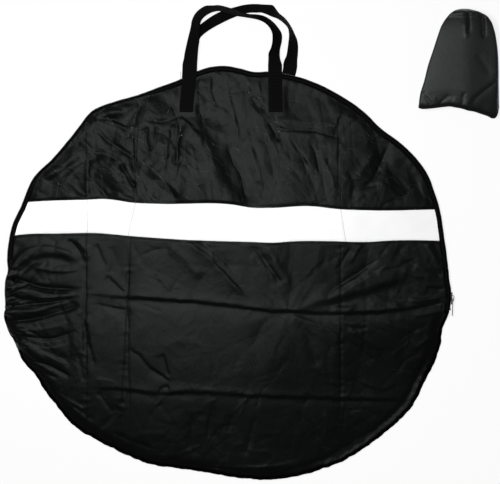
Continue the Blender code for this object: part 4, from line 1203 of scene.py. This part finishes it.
def above_split(piece):
    """For each face, whether it lies above the band's middle line, where the two cloths meet unseen."""
    middles = np.empty(len(piece.data.polygons) * 3)
    piece.data.polygons.foreach_get("center", middles)
    x, y, _ = middles.reshape(-1, 3).T
    return y > (table_curve(BAND_TOP, x / MM) + table_curve(BAND_BOTTOM, x / MM)) / 2 * MM


def keep_faces(piece, kept):
    """Removes the faces that kept turns down."""
    with edited(piece) as shape:
        gone = [face for face in shape.faces if not kept[face.index]]
        bmesh.ops.delete(shape, geom=gone, context="FACES")
    piece.data.update()


class WHEELBAG_OT_front_cloth(bpy.types.Operator):
    """Make the front's nylon, above and below the white band, with its folds"""

    bl_idname = "wheel_bag.front_cloth"
    bl_label = "Front cloth"

    def execute(self, context):
        sizes = context.scene.wheel_bag_sizes
        count = 2 * sizes.cloth_fineness
        upper = sheet_grid("upper_front_cloth", count, count, front_place)
        lower = upper.copy()
        lower.data = upper.data.copy()
        lower.name = lower.data.name = "lower_front_cloth"
        context.scene.collection.objects.link(lower)
        above = above_split(upper)
        keep_faces(upper, above)
        keep_faces(lower, ~above)
        cloth = material_named(nylon, "bag_nylon", crease_lines=True)
        for piece in (upper, lower):
            piece.vertex_groups.new(name="inside")
            with_modifier(piece, "SOLIDIFY", thickness=0.6 * MM, offset=-1.0, shell_vertex_group="inside")
            with_modifier(piece, "DECIMATE", ratio=0.55, vertex_group="inside")
            piece.vertex_groups.clear()
            smooth_shaded(piece)
        dress(upper, cloth, "front_flap", ["front_upper_panel"])
        FOLD_Y - 7 * MM
        FOLD_Y + 7 * MM
        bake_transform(lower)
        dress(lower, cloth, None, ["front_middle_panel", "front_lower_panel"])
        return {"FINISHED"}


class WHEELBAG_OT_white_band(bpy.types.Operator):
    """Make the white reflective band across the front"""

    bl_idname = "wheel_bag.white_band"
    bl_label = "White band"

    def execute(self, context):
        def place(u, v):
            share = (v + 1) / 2
            x = u * ZIP_RADIUS
            # Each round fits the ends closer to the rim
            for _ in range(3):
                top, bottom = band_edges(x)
                y = bottom + (top - bottom) * share
                half = np.sqrt(np.maximum(cloth_radius(np.degrees(np.arctan2(y, x))) ** 2 - y**2, 0.0))
                x = u * (half - 0.4 * MM)
            z = front_surface(x, y) + 0.9 * MM
            edge = smooth_step((1 - np.abs(v)) / 0.06)
            return x, y, z - 0.4 * MM * (1 - edge)

        band = sheet_grid("white_band", 300, 26, place, (0.76, 0.06))
        thicken(band, 0.5 * MM, 50)
        cloth = material_named(reflective_cloth, "glass_bead_cloth")
        dress(band, cloth, "front_flap", ["reflective_band"])
        return {"FINISHED"}


class WHEELBAG_OT_back_cloth(bpy.types.Operator):
    """Make the back's nylon, which lies on the ground"""

    bl_idname = "wheel_bag.back_cloth"
    bl_label = "Back cloth"

    def execute(self, context):
        def place(u, v):
            share, angle = disc_place(u, v)
            edge = cloth_radius(angle)
            radius = share * edge
            x, y = polar(radius, angle)
            inside = edge - radius
            seam = 1.6 * MM * (1 - smooth_step((inside - 3 * MM) / (14 * MM))) * seam_share(angle)
            straps = 2.0 * MM * smooth_step((y - SEWN_END_Y + 17 * MM) / (16 * MM))
            soft = np.maximum(crumple(x, y, 9.0), 0.0) * 0.55 * smooth_step(inside / (20 * MM))
            return x, y, np.maximum(np.maximum(seam, straps), 0.3 * MM) + soft

        cloth = sheet_grid("back_cloth", 110, 110, place)
        cloth.data.flip_normals()
        thicken(cloth, 0.8 * MM)
        dress(cloth, material_named(nylon, "plain_nylon"), "bag", ["back_panel"])
        return {"FINISHED"}


def rim_strip(name, start, end, profile, step=0.5, width=18 * MM):
    """A strip along the rim between two angles. The profile gives for the angles, from the strip's inner
    edge to its outer one, how many millimetres each line lies inside the outline and its height."""
    columns = max(8, int(abs(end - start) / step))
    rows = len(profile(np.zeros(1))) - 1

    def place(u, v):
        angle = start + (end - start) * (u + 1) / 2
        row = np.rint((v + 1) / 2 * rows).astype(int)
        inside, height = (np.choose(row, lines) for lines in zip(*profile(angle)))
        return *polar(outline_radius(angle) - inside * MM, angle), height

    return sheet_grid(name, columns, rows, place, (np.radians(abs(end - start)) * ZIP_RADIUS, width))


class WHEELBAG_OT_lower_binding(bpy.types.Operator):
    """Make the tape bound round the sewn lower edge"""

    bl_idname = "wheel_bag.lower_binding"
    bl_label = "Lower binding"

    def execute(self, context):
        top = SEAM_Z + 1.1 * MM
        pairs = (
            (8.5, 0.65 * MM), (4.0, 0.5 * MM), (1.6, 0.55 * MM), (0.5, 1.2 * MM), (0.0, 2.4 * MM),
            (0.0, 3.6 * MM), (0.5, top - 0.7 * MM), (1.6, top - 0.1 * MM), (3.0, top), (4.6, top + 0.5 * MM),
            (5.6, top + 0.7 * MM),
        )
        start = angle_at(-TAIL_END_Y) - 0.1

        def profile(angle):
            wave = 0.5 * MM * noise_field(angle * 0.0068, np.zeros_like(angle), 0.02, 3.0)
            raise_by = (RIM_Z - SEAM_Z) * (1 - seam_share(angle))
            lines = []
            for inside, height in pairs:
                share = min(max((height - 0.6 * MM) / (top - 0.6 * MM), 0.0), 1.0)
                lines.append((inside, height + wave * share * 0.6 + raise_by * share))
            return lines

        binding = rim_strip("lower_binding", -start, -(180 - start), profile, 0.4)
        thicken(binding, 0.6 * MM, 60)
        tape = material_named(zip_tape, "woven_zip_tape")
        dress(binding, tape, "bag", ["lower_edge_binding"])
        return {"FINISHED"}


class WHEELBAG_OT_zip_tapes(bpy.types.Operator):
    """Make the two zip tapes along the rim"""

    bl_idname = "wheel_bag.zip_tapes"
    bl_label = "Zip tapes"

    def execute(self, context):
        tape = material_named(zip_tape, "woven_zip_tape")
        fold = angle_at(FOLD_Y + 0.2 * MM, 0.38)
        tail = angle_at(-TAIL_END_Y)
        drops = ((16, 0.2), (9, 0.1), (4, 0.0), (1.6, 0.2), (0.6, 0.9))

        def front(angle):
            return [*((inside, TAPE_TOP - drop * MM) for inside, drop in drops), (0.2, TAPE_EDGE + 0.1 * MM)]

        def back(angle):
            spot_y = (ZIP_RADIUS - 8 * MM) * np.sin(np.radians(angle))
            lift = 1.8 * MM * smooth_step((spot_y - SEWN_END_Y + 17 * MM) / (17 * MM))
            lift = lift + 1.9 * MM
            steps = ((16, 0.0), (9, 0.0), (4, 0.1), (1.6, 0.3), (0.6, 0.8))
            return [*((inside, lift + up * MM) for inside, up in steps), (0.2, BACK_TAPE_EDGE - 0.1 * MM)]

        strips = (
            ("front_tape", (fold, 180 - fold), front, "front_flap", "front_zip_tape"),
            ("front_tape_right", (-tail, fold - 0.1), front, "bag", "front_tape_end_right"),
            ("front_tape_left", (180 - fold + 0.1, 180 + tail), front, "bag", "front_tape_end_left"),
            ("back_tape", (-tail, 180 + tail), back, "bag", "back_zip_tape"),
        )
        for name, span, profile, body, node in strips:
            strip = rim_strip(name, *span, profile)
            if profile is back:
                strip.data.flip_normals()
            thicken(strip, 0.7 * MM, 60, offset=0.0)
            dress(strip, tape, body, [node])
        return {"FINISHED"}


def tooth(name, width, depth, height):
    """One moulded tooth: a rounded block with a narrower neck, standing on its root at the origin."""
    piece = block(name, (depth, width, 1), (0, 0, 0.5))
    with edited(piece) as shape:
        for corner in shape.verts:
            if corner.co.z < 0.5:
                corner.co.y *= 0.7
                corner.co.x *= 0.85
            corner.co.z *= height
    with_modifier(piece, "BEVEL", width=0.35 * MM, segments=1, limit_method="NONE")
    return piece


def rim_matrix(angle, inside, height, flip):
    """A frame on the rim with X outwards, Y along the rim and Z up, or down when flipped."""
    radius = float(outline_radius(np.array([angle]))[0]) - inside
    turn = Matrix.Rotation(radians(angle), 4, "Z")
    place = Matrix.Translation((radius * cos(radians(angle)), radius * sin(radians(angle)), height))
    if flip:
        turn = turn @ Matrix.Rotation(pi, 4, "X")
    return place @ turn


def tooth_row(name, start, end, front):
    """A row of teeth with the cord that carries them: the back's, or the front's, which hangs from
    above with its teeth half a pitch on."""
    root = CHAIN_TOP - CORD_DEPTH if front else CHAIN_BOTTOM + CORD_DEPTH
    offset, up = (0.75, -1) if front else (0.25, 1)
    tooth_pitch = bpy.context.scene.wheel_bag_sizes.tooth_pitch
    count = int((end - start) / degrees(tooth_pitch / ZIP_RADIUS))
    angles = [start + (k + offset) * (end - start) / count for k in range(count)]
    model = tooth(name + "_model", tooth_pitch * 0.43, 2.6 * MM, 3.0 * MM)
    teeth = copies(name, model, [rim_matrix(angle, 0.2 * MM, root, front) for angle in angles])
    lines = ((1.5, 0.15), (1.3, -0.55), (0.2, -0.8), (-0.9, -0.55), (-1.1, 0.15))
    pairs = [(inside, root + up * lift * MM) for inside, lift in lines]
    cord = rim_strip(name + "_cord", start, end, lambda angle: pairs, 0.6)
    with_modifier(cord, "SOLIDIFY", thickness=0.5 * MM, offset=0.0)
    join_to(teeth, [cord])
    smooth_shaded(teeth, 40)
    return teeth


class WHEELBAG_OT_zip_teeth(bpy.types.Operator):
    """Make the two rows of teeth and the chain's closed ends"""

    bl_idname = "wheel_bag.zip_teeth"
    bl_label = "Zip teeth"

    def execute(self, context):
        plastic = material_named(zip_plastic, "moulded_teeth")
        start = angle_at(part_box("front_zip_teeth")[0][1])
        end = angle_at(-ZIP_END_Y)
        open_span, right, left = (start, 180 - start), (-end, start - 0.1), (180.1 - start, 180 + end)
        rows = (
            ("back_teeth", open_span, False, "bag", ["back_zip_teeth"]),
            ("front_teeth", open_span, True, "front_flap", ["front_zip_teeth"]),
            ("closed_back_right", right, False, "bag", ["closed_chain_right"]),
            ("closed_front_right", right, True, "bag", []),
            ("closed_back_left", left, False, "bag", ["closed_chain_left"]),
            ("closed_front_left", left, True, "bag", []),
        )
        for name, span, front, body, nodes in rows:
            dress(tooth_row(name, *span, front), plastic, body, nodes)
        return {"FINISHED"}


def slider_frame():
    """The frame of the parked slider: X along the zip, Y out of the bag and Z up."""
    angle = atan2(TAB_AXIS.y, TAB_AXIS.x)
    out = Vector((cos(angle), sin(angle), 0))
    along = Vector((-sin(angle), cos(angle), 0))
    frame_matrix = Matrix((along, out, Vector((0, 0, 1)))).transposed().to_4x4()
    frame_matrix.translation = out * ZIP_RADIUS + Vector((0, 0, TAB_AXIS.z))
    return frame_matrix


class WHEELBAG_OT_zip_slider(bpy.types.Operator):
    """Make the zip's slider with its bridge, inner plate and pull tab"""

    bl_idname = "wheel_bag.zip_slider"
    bl_label = "Zip slider"

    def execute(self, context):
        plate = block("slider_plate", (22 * MM, 1.5 * MM, 7.8 * MM), (0, 2.65 * MM, 0))
        with edited(plate) as shape:
            # The end at negative X is the narrower one
            for corner in shape.verts:
                if corner.co.x < 0:
                    corner.co.z *= 0.72
            edges = [edge for edge in shape.edges if abs(edge.verts[0].co.y - edge.verts[1].co.y) > MM]
            bmesh.ops.bevel(shape, geom=edges, offset=2.2 * MM, segments=5, affect="EDGES", profile=0.5)
        round_corners(plate, 0.35 * MM, 40)
        flanges = []
        for side in (-1, 1):
            spot = (3.2 * MM, 1.75 * MM, side * 3.45 * MM)
            flanges.append(rounded_block("slider_flange", (13 * MM, 1.5 * MM, 0.8 * MM), spot, 0.3 * MM, 3))
        join_to(plate, [*flanges, bridge_piece()])
        size = (21 * MM, 1.2 * MM, 6.0 * MM)
        inner = rounded_block("slider_back_plate", size, (0, -2.55 * MM, 0), 0.5 * MM, 3)
        pieces = (
            (plate, "zip_slider", "slider_body"),
            (inner, "zip_slider", "slider_inner_plate"),
            (tab_piece(), "zip_pull", "pull_tab"),
        )
        metal = material_named(dark_metal, "lacquered_metal")
        place = slider_frame()
        for piece, body, node in pieces:
            smooth_shaded(piece, 45)
            settle(piece, place)
            dress(piece, metal, body, [node])
        return {"FINISHED"}


def bridge_piece():
    """The arch on the slider that holds the tab's ring: a round bar pushed out along its path."""
    clear_selection()
    bpy.ops.mesh.primitive_circle_add(vertices=12, radius=0.62 * MM, fill_type="NGON", location=(0, 0, 0))
    piece = started("slider_bridge_arch")
    path = (
        (-5.0, 3.1), (-5.0, 4.6), (-4.6, 5.6), (-3.6, 6.35), (-2.0, 6.45), (2.0, 6.45), (3.6, 6.35),
        (4.6, 5.6), (5.0, 4.6), (5.0, 3.1),
    )
    spots = [Vector((*spot, 0)) * MM for spot in path]
    with edited(piece) as shape:
        # The flat section is stood up at the path's start
        for corner in shape.verts:
            corner.co = Vector((corner.co.y, 0, corner.co.x * 1.5)) + Vector((-5.0 * MM, 3.1 * MM, 0))
        shape.faces.ensure_lookup_table()
        face = shape.faces[0]
        for last, here in zip(spots, spots[1:]):
            face = bmesh.ops.extrude_discrete_faces(shape, faces=[face])["faces"][0]
            bmesh.ops.translate(shape, verts=face.verts[:], vec=here - last)
            ahead = (here - last).normalized()
            now = face.normal if face.normal.length else ahead
            turn = now.rotation_difference(ahead).to_matrix()
            bmesh.ops.rotate(shape, verts=face.verts[:], cent=face.calc_center_median(), matrix=turn)
            shape.normal_update()
        bmesh.ops.remove_doubles(shape, verts=shape.verts[:], dist=0.01 * MM)
        bmesh.ops.holes_fill(shape, edges=shape.edges[:])
        bmesh.ops.recalc_face_normals(shape, faces=shape.faces[:])
    return piece


def tab_piece():
    """The flat pull tab with its ring and a few grip ribs, lying back along the zip."""
    pin = TAB_AXIS.xy.length - ZIP_RADIUS
    piece = block("zip_pull_tab", (1, 1, 1))
    # Rows across the tab: the place along it and half its width. Rows 1 and 2 bound the ring's hole.
    stations = (
        (0.55, 2.2), (-0.55, 2.45), (-7.6, 2.45), (-8.6, 2.45), (-12.0, 2.0), (-26.0, 2.45), (-29.6, 2.3),
        (-31.4, 1.2),
    )
    ring = (1, 2)
    half = 0.5 * MM
    with edited(piece) as shape:
        bmesh.ops.delete(shape, geom=shape.verts[:], context="VERTS")
        rows = []
        for k, (along, wide) in enumerate(stations):
            hole = 1.5 if k in ring else wide * 0.55
            across = (-wide, -hole, hole, wide)
            rows.append([shape.verts.new((along * MM, pin - half, value * MM)) for value in across])
        for k, (row, after) in enumerate(zip(rows, rows[1:])):
            for m in range(3):
                if (k, m) != (1, 1):
                    shape.faces.new((row[m], row[m + 1], after[m + 1], after[m]))
        made = bmesh.ops.extrude_face_region(shape, geom=shape.faces[:])["geom"]
        moved = [item for item in made if isinstance(item, bmesh.types.BMVert)]
        bmesh.ops.translate(shape, verts=moved, vec=(0, 2 * half, 0))
        bmesh.ops.recalc_face_normals(shape, faces=shape.faces[:])
    round_corners(piece, 0.28 * MM, 50)
    ribs = []
    for k in range(5):
        spot = ((-20.0 - 1.5 * k) * MM, pin + half, 0)
        ribs.append(rounded_block("tab_rib", (0.5 * MM, 0.35 * MM, 3.2 * MM), spot, 0.12 * MM, 2))
    join_to(piece, ribs)
    return piece


def leg_stations(foot, fold_x, hinge_y, heights):
    """The sewn leg of a handle from its foot to its fold, as (outer, inner) edges."""
    half = bpy.context.scene.wheel_bag_sizes.webbing_width / 2
    y = np.linspace(SEWN_END_Y, hinge_y, 22)[:-1]
    x = foot + (fold_x - foot) * smooth_step((y - SEWN_END_Y) / (hinge_y - SEWN_END_Y))
    side = -half if foot < 0 else half
    z = heights(x, y)
    return [((a + side, b, c), (a - side, b, c)) for a, b, c in zip(x, y, z)]


def handle_stations(route, hinge, heights):
    """Both edges along a whole handle: one sewn leg, the loop, and the other leg."""
    loop = []
    for outer_x, outer_y, inner_x, inner_y, low, high in curve_points(route, 3.5) * MM:
        base = hinge.z - WEBBING_HALF
        loop.append(((outer_x, outer_y, base + low), (inner_x, inner_y, base + high)))
    first, last = (loop[k][0][0] / 2 + loop[k][1][0] / 2 for k in (0, -1))
    left = leg_stations(LEFT_FOOT_X, first, hinge.y, heights)
    right = leg_stations(RIGHT_FOOT_X, last, hinge.y, heights)
    return left + loop + right[::-1]


def webbing_strap(name, stations):
    """A strap swept along its stations, slightly rounded across, with its length on its UV map."""
    width = bpy.context.scene.wheel_bag_sizes.webbing_width
    edges = np.array(stations)
    outer, inner = edges[:, 0], edges[:, 1]
    centre = (outer + inner) / 2
    length = np.linalg.norm(np.diff(centre, axis=0), axis=1).sum()
    ahead = np.gradient(centre, axis=0)
    normal = np.cross(inner - outer, ahead)
    normal *= np.sign(normal[0, 2]) / np.linalg.norm(normal, axis=1)[:, None]
    last = len(stations) - 1

    def place(u, v):
        k = np.rint((u + 1) / 2 * last).astype(int)
        crown = (0.25 * MM * (1 - v**2))[:, None]
        spot = centre[k] + (inner - outer)[k] * (v / 2)[:, None] + normal[k] * crown
        return spot[:, 0], spot[:, 1], spot[:, 2]

    strap = sheet_grid(name, last, 8, place, (length, width))
    with_modifier(strap, "SOLIDIFY", thickness=1.3 * MM, offset=0.0)
    choose(strap)
    bpy.ops.object.mode_set(mode="EDIT")
    bpy.ops.mesh.select_all(action="SELECT")
    bpy.ops.mesh.normals_make_consistent(inside=False)
    bpy.ops.object.mode_set(mode="OBJECT")
    smooth_shaded(strap, 60)
    return strap


def stitch_line(points, pitch, heights):
    """Matrices for stitches along a line of points, on a surface whose height heights gives."""
    dense = curve_points(points, pitch)
    dense = np.column_stack((dense, heights(dense[:, 0], dense[:, 1])))
    matrices = []
    for start, end in zip(dense, dense[1:]):
        turn = Vector(end - start).to_track_quat("X", "Z").to_matrix().to_4x4()
        matrices.append(Matrix.Translation((start + end) / 2) @ turn)
    return matrices


class WHEELBAG_OT_handles(bpy.types.Operator):
    """Make the two webbing handles and the stitching that holds the front one"""

    bl_idname = "wheel_bag.handles"
    bl_label = "Handles"

    def execute(self, context):
        strap = material_named(webbing, "woven_webbing")

        def on_front(x, y):
            x, y = np.asarray(x, float), np.asarray(y, float)
            highest = np.max([front_surface(x + off * MM, y) for off in (-11, -5.5, 0, 5.5, 11)], axis=0)
            top = FRONT_HANDLE.z - WEBBING_HALF
            share = smooth_step((y - FRONT_HANDLE.y + 24 * MM) / (20 * MM))
            return (highest + WEBBING_HALF) * (1 - share) + top * share

        def under_back(x, y):
            return np.full(len(x), WEBBING_HALF)

        front = webbing_strap("front_carry_strap", handle_stations(FRONT_ROUTE, FRONT_HANDLE, on_front))
        rear = webbing_strap("rear_carry_strap", handle_stations(REAR_ROUTE, REAR_HANDLE, under_back))
        for piece, low, high, hinge in (
            (front, "front_flap", "front_carry_loop", FRONT_HANDLE),
            (rear, "bag", "rear_carry_loop", REAR_HANDLE),
        ):
            reach = Vector((0, 3 * MM, 0))
            tuple(hinge - reach)
            tuple(hinge + reach)
            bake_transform(piece)
        names = ["front_handle", "front_handle_end_left", "front_handle_end_right"]
        dress(front, strap, None, names)
        dress(rear, strap, None, [name.replace("front", "rear") for name in names])

        def strap_top(x, y):
            return on_front(x, y) + 0.8 * MM

        matrices = []
        for foot in (LEFT_FOOT_X, RIGHT_FOOT_X):
            left, right = foot - 10 * MM, foot + 10 * MM
            low, high = SEWN_END_Y + 3 * MM, SEWN_END_Y + 27 * MM
            corners = ((left, low), (right, low), (right, high), (left, high))
            for first, last in ((0, 1), (1, 2), (2, 3), (3, 0), (0, 2), (1, 3)):
                matrices += stitch_line([corners[first], corners[last]], 2.6 * MM, strap_top)
            for side in (left, right):
                matrices += stitch_line([(side, high), (side, FRONT_HANDLE.y - 12 * MM)], 2.8 * MM, strap_top)
        # One stitch is a short rounded bar along X
        thick = 0.55 * MM
        model = rounded_block("stitch_model", (2.1 * MM, thick, thick * 0.8), (0, 0, 0), thick * 0.3, 1)
        stitches = copies("handle_stitches", model, matrices)
        smooth_shaded(stitches, 50)
        dress(stitches, material_named(thread, "sewing_thread"), "front_flap")
        return {"FINISHED"}


def pouch_place(u, v):
    """The pouch's skin: u runs round it and v from its hem to its mouth."""
    share = (v + 1) / 2
    side, up = np.sin(u * pi), np.cos(u * pi)
    # All in millimetres up to the line that scales them; level is the place between hem and mouth
    level = 325.0 + 174.0 * share
    left = table_curve(POUCH_LEFT, level)
    right = table_curve(POUCH_RIGHT, level)
    tall = table_curve(POUCH_HEIGHT, share)
    rise = np.where(up > 0, (1 - 0.10 * side**2) * (1 - np.abs(side) ** 44) ** 0.5, 0.0)
    x = (left + right) / 2 + (right - left) / 2 * side
    hem = table_curve(POUCH_HEM, side)
    y = level + hem * (1 - share) ** 3
    z = np.maximum(tall * rise, 0.0)
    # Its top leans to the left and over the hem
    lean = 0.25 * z * smooth_step((0.2 - side) / 1.2) * (1 - smooth_step((share - 0.8) / 0.2))
    x = x - lean + 1.4 * smooth_step(side)
    y = y - 0.34 * z * smooth_step((0.14 - share) / 0.14)
    x, y, z = x * MM, y * MM, z * MM
    on_top = smooth_step((rise - 0.25) / 0.4)
    # The flattened corner at the right of its hem
    corner = (x / MM - 479) * 0.60 - (y / MM - 373) * 0.80
    relief = fold_relief(x, y, POUCH_FOLDS) + 0.4 * crumple(x, y, 21.0)
    relief = relief - 8 * MM * np.clip(corner / 40, 0, 1) - 3 * MM * smooth_step((x / MM - 415) / 50)
    at_hem = noise_field(x, y * 0.3, 0.012, 31.0) * smooth_step((0.12 - share) / 0.10)
    at_mouth = noise_field(x * 1.2, y * 0.25, 0.011, 33.0) * smooth_step((share - 0.86) / 0.12)
    ripple = at_hem * 1.2 * MM + at_mouth * 0.9 * MM
    z = z + (relief + ripple) * on_top * np.minimum(share / 0.02, 1)
    return x, y, np.maximum(z, 0.4 * MM)


class WHEELBAG_OT_storage_pouch(bpy.types.Operator):
    """Make the small storage pouch, gathered at its mouth"""

    bl_idname = "wheel_bag.storage_pouch"
    bl_label = "Storage pouch"

    def execute(self, context):
        pouch = sheet_grid("small_pouch", 200, 140, pouch_place)
        with edited(pouch) as shape:
            bmesh.ops.remove_doubles(shape, verts=shape.verts[:], dist=0.01 * MM)
            bmesh.ops.recalc_face_normals(shape, faces=shape.faces[:])
        thicken(pouch, 0.8 * MM, 70)
        cloth = material_named(nylon, "pouch_nylon", shine=0.32, dull=0.15)
        dress(pouch, cloth, "bag", ["pouch_front", "pouch_back"])
        return {"FINISHED"}


class WHEELBAG_OT_zip_stops(bpy.types.Operator):
    """Give the zip's two end stops their metal"""

    bl_idname = "wheel_bag.zip_stops"
    bl_label = "Zip stops"

    def execute(self, context):
        metal = material_named(dark_metal, "lacquered_metal")
        for name in ("zip_stop_left", "zip_stop_right"):
            for slot in frame["nodes"][name].material_slots:
                slot.material = metal
        return {"FINISHED"}


class WHEELBAG_OT_stage(bpy.types.Operator):
    """Set the pale floor, the soft light and the camera"""

    bl_idname = "wheel_bag.stage"
    bl_label = "Stage"

    def execute(self, context):
        scene = context.scene
        clear_selection()
        bpy.ops.mesh.primitive_plane_add(size=12, location=(0, 0, -0.2 * MM))
        floor = started("studio_floor")
        finish = Finish("pale_floor")
        finish.set(Base_Color=(0.90, 0.90, 0.90, 1.0), Roughness=0.9, Specular_IOR_Level=0.1)
        seen = finish.node("ShaderNodeLightPath", out="Is Camera Ray") * 0.85
        glow = finish.node("ShaderNodeEmission", {}, {"Strength": 1.0})
        plain = Value(finish, finish.shader.outputs[0])
        mixed = finish.node("ShaderNodeMixShader", {}, {0: seen, 1: plain, 2: glow})
        finish.join(mixed, finish.tree.nodes["Material Output"].inputs[0])
        floor.data.materials.append(finish.material)

        world = bpy.data.worlds.new("soft_room")
        scene.world = world
        world.use_nodes = True
        nodes, links = world.node_tree.nodes, world.node_tree.links
        sky = nodes["Background"]
        sky.inputs["Color"].default_value = (1, 1, 1, 1)
        path = nodes.new("ShaderNodeLightPath")
        scale = nodes.new("ShaderNodeMapRange")
        scale.inputs[3].default_value = 0.10
        scale.inputs[4].default_value = 1.0
        links.new(path.outputs["Is Camera Ray"], scale.inputs[0])
        links.new(scale.outputs[0], sky.inputs["Strength"])

        lamps = (
            ("key_light", (-0.20, 0.33, 1.6), (0.0, 0.05, 0.0), 0.5, 28.0),
            ("fill_light", (1.6, 0.9, 1.5), (0.2, 0.1, 0.0), 1.2, 1.2),
        )
        for name, spot, target, size, power in lamps:
            light = bpy.data.lights.new(name, "AREA")
            light.shape = "DISK"
            light.size = size
            light.energy = power
            lamp = bpy.data.objects.new(name, light)
            lamp.location = spot
            lamp.rotation_euler = (Vector(target) - Vector(spot)).to_track_quat("-Z", "Y").to_euler()
            scene.collection.objects.link(lamp)

        sizes = scene.wheel_bag_sizes
        camera = bpy.data.cameras.new("photo_camera")
        camera.lens = camera.sensor_width * sizes.camera_height / sizes.view_width
        camera.clip_end = 50.0
        eye = bpy.data.objects.new("photo_camera", camera)
        eye.location = (sizes.view_centre[0], sizes.view_centre[1], sizes.camera_height + 0.015)
        scene.collection.objects.link(eye)
        scene.camera = eye
        scene.view_settings.view_transform = "Standard"
        return {"FINISHED"}


class WHEELBAG_PG_sizes(bpy.types.PropertyGroup):
    """Sizes that a user may change"""

    crown: FloatProperty(
        name="Swell", description="How far each half of the front swells above the rim",
        default=8 * MM, unit="LENGTH",
    )
    fold_depth: FloatProperty(
        name="Fold depth", description="Depth of the folds as a share of the bag's own",
        default=1.0, subtype="FACTOR", min=0, max=2,
    )
    crumple: FloatProperty(
        name="Crumple", description="Strength of the small creases",
        default=1.0, subtype="FACTOR", min=0, max=3,
    )
    cloth_fineness: IntProperty(
        name="Cloth fineness", description="Rings of the front's mesh from its middle to its edge",
        default=176, min=20, max=180,
    )
    weave: FloatProperty(
        name="Weave", description="Distance between the nylon's threads", default=1.1 * MM, unit="LENGTH",
    )
    webbing_width: FloatProperty(
        name="Webbing width", description="Width of the handles' webbing", default=25 * MM, unit="LENGTH",
    )
    webbing_rib: FloatProperty(
        name="Webbing rib", description="Distance between the ribs of the webbing",
        default=2.6 * MM, unit="LENGTH",
    )
    tooth_pitch: FloatProperty(
        name="Tooth pitch", description="Distance between two teeth of one row",
        default=4.4 * MM, unit="LENGTH",
    )
    camera_height: FloatProperty(
        name="Camera height", description="Height of the camera above the bag", default=4.0, unit="LENGTH",
    )
    view_width: FloatProperty(
        name="View width", description="Width of the view at the bag", default=0.8889, unit="LENGTH",
    )
    view_centre: FloatVectorProperty(
        name="View centre", description="Where the camera looks",
        default=(0.0391, 0.0853), size=2, subtype="XYZ", unit="LENGTH",
    )


class WHEELBAG_PG_colours(bpy.types.PropertyGroup):
    """Colours that a user may change"""

    nylon: FloatVectorProperty(
        name="Nylon", description="Black woven nylon",
        default=(0.0014, 0.0016, 0.0015), subtype="COLOR", min=0, max=1,
    )
    band: FloatVectorProperty(
        name="Band", description="White reflective cloth",
        default=(0.90, 0.90, 0.905), subtype="COLOR", min=0, max=1,
    )
    webbing: FloatVectorProperty(
        name="Webbing", description="Black webbing",
        default=(0.0020, 0.0020, 0.0021), subtype="COLOR", min=0, max=1,
    )
    tape: FloatVectorProperty(
        name="Tape", description="Black zip tape",
        default=(0.0030, 0.0031, 0.0031), subtype="COLOR", min=0, max=1,
    )
    teeth: FloatVectorProperty(
        name="Teeth", description="Black zip teeth",
        default=(0.010, 0.010, 0.011), subtype="COLOR", min=0, max=1,
    )
    metal: FloatVectorProperty(
        name="Metal", description="Dark zip metal",
        default=(0.040, 0.040, 0.042), subtype="COLOR", min=0, max=1,
    )


class WHEELBAG_PT_panel(bpy.types.Panel):
    """Lists the pieces of the bag and its sizes"""

    bl_idname = "WHEELBAG_PT_panel"
    bl_label = "Wheel bag"
    bl_space_type = "VIEW_3D"
    bl_region_type = "UI"
    bl_category = "Wheel bag"

    def draw(self, context):
        column = self.layout.column()
        for operator in OPERATORS:
            column.operator(operator.bl_idname)
        for group in (context.scene.wheel_bag_sizes, context.scene.wheel_bag_colours):
            for name in group.__annotations__:
                column.prop(group, name)


OPERATORS = (
    WHEELBAG_OT_front_cloth,
    WHEELBAG_OT_white_band,
    WHEELBAG_OT_back_cloth,
    WHEELBAG_OT_lower_binding,
    WHEELBAG_OT_zip_tapes,
    WHEELBAG_OT_zip_teeth,
    WHEELBAG_OT_zip_slider,
    WHEELBAG_OT_zip_stops,
    WHEELBAG_OT_handles,
    WHEELBAG_OT_storage_pouch,
    WHEELBAG_OT_stage,
)


def register():
    for kind in (WHEELBAG_PG_sizes, WHEELBAG_PG_colours, *OPERATORS, WHEELBAG_PT_panel):
        bpy.utils.register_class(kind)
    bpy.types.Scene.wheel_bag_sizes = PointerProperty(type=WHEELBAG_PG_sizes)
    bpy.types.Scene.wheel_bag_colours = PointerProperty(type=WHEELBAG_PG_colours)


def unregister():
    del bpy.types.Scene.wheel_bag_colours
    del bpy.types.Scene.wheel_bag_sizes
    for kind in (WHEELBAG_PT_panel, *OPERATORS[::-1], WHEELBAG_PG_colours, WHEELBAG_PG_sizes):
        bpy.utils.unregister_class(kind)


def main():
    register()
    for operator in OPERATORS:
        group, name = operator.bl_idname.split(".")
        getattr(getattr(bpy.ops, group), name)()


if __name__ == "__main__":
    main()
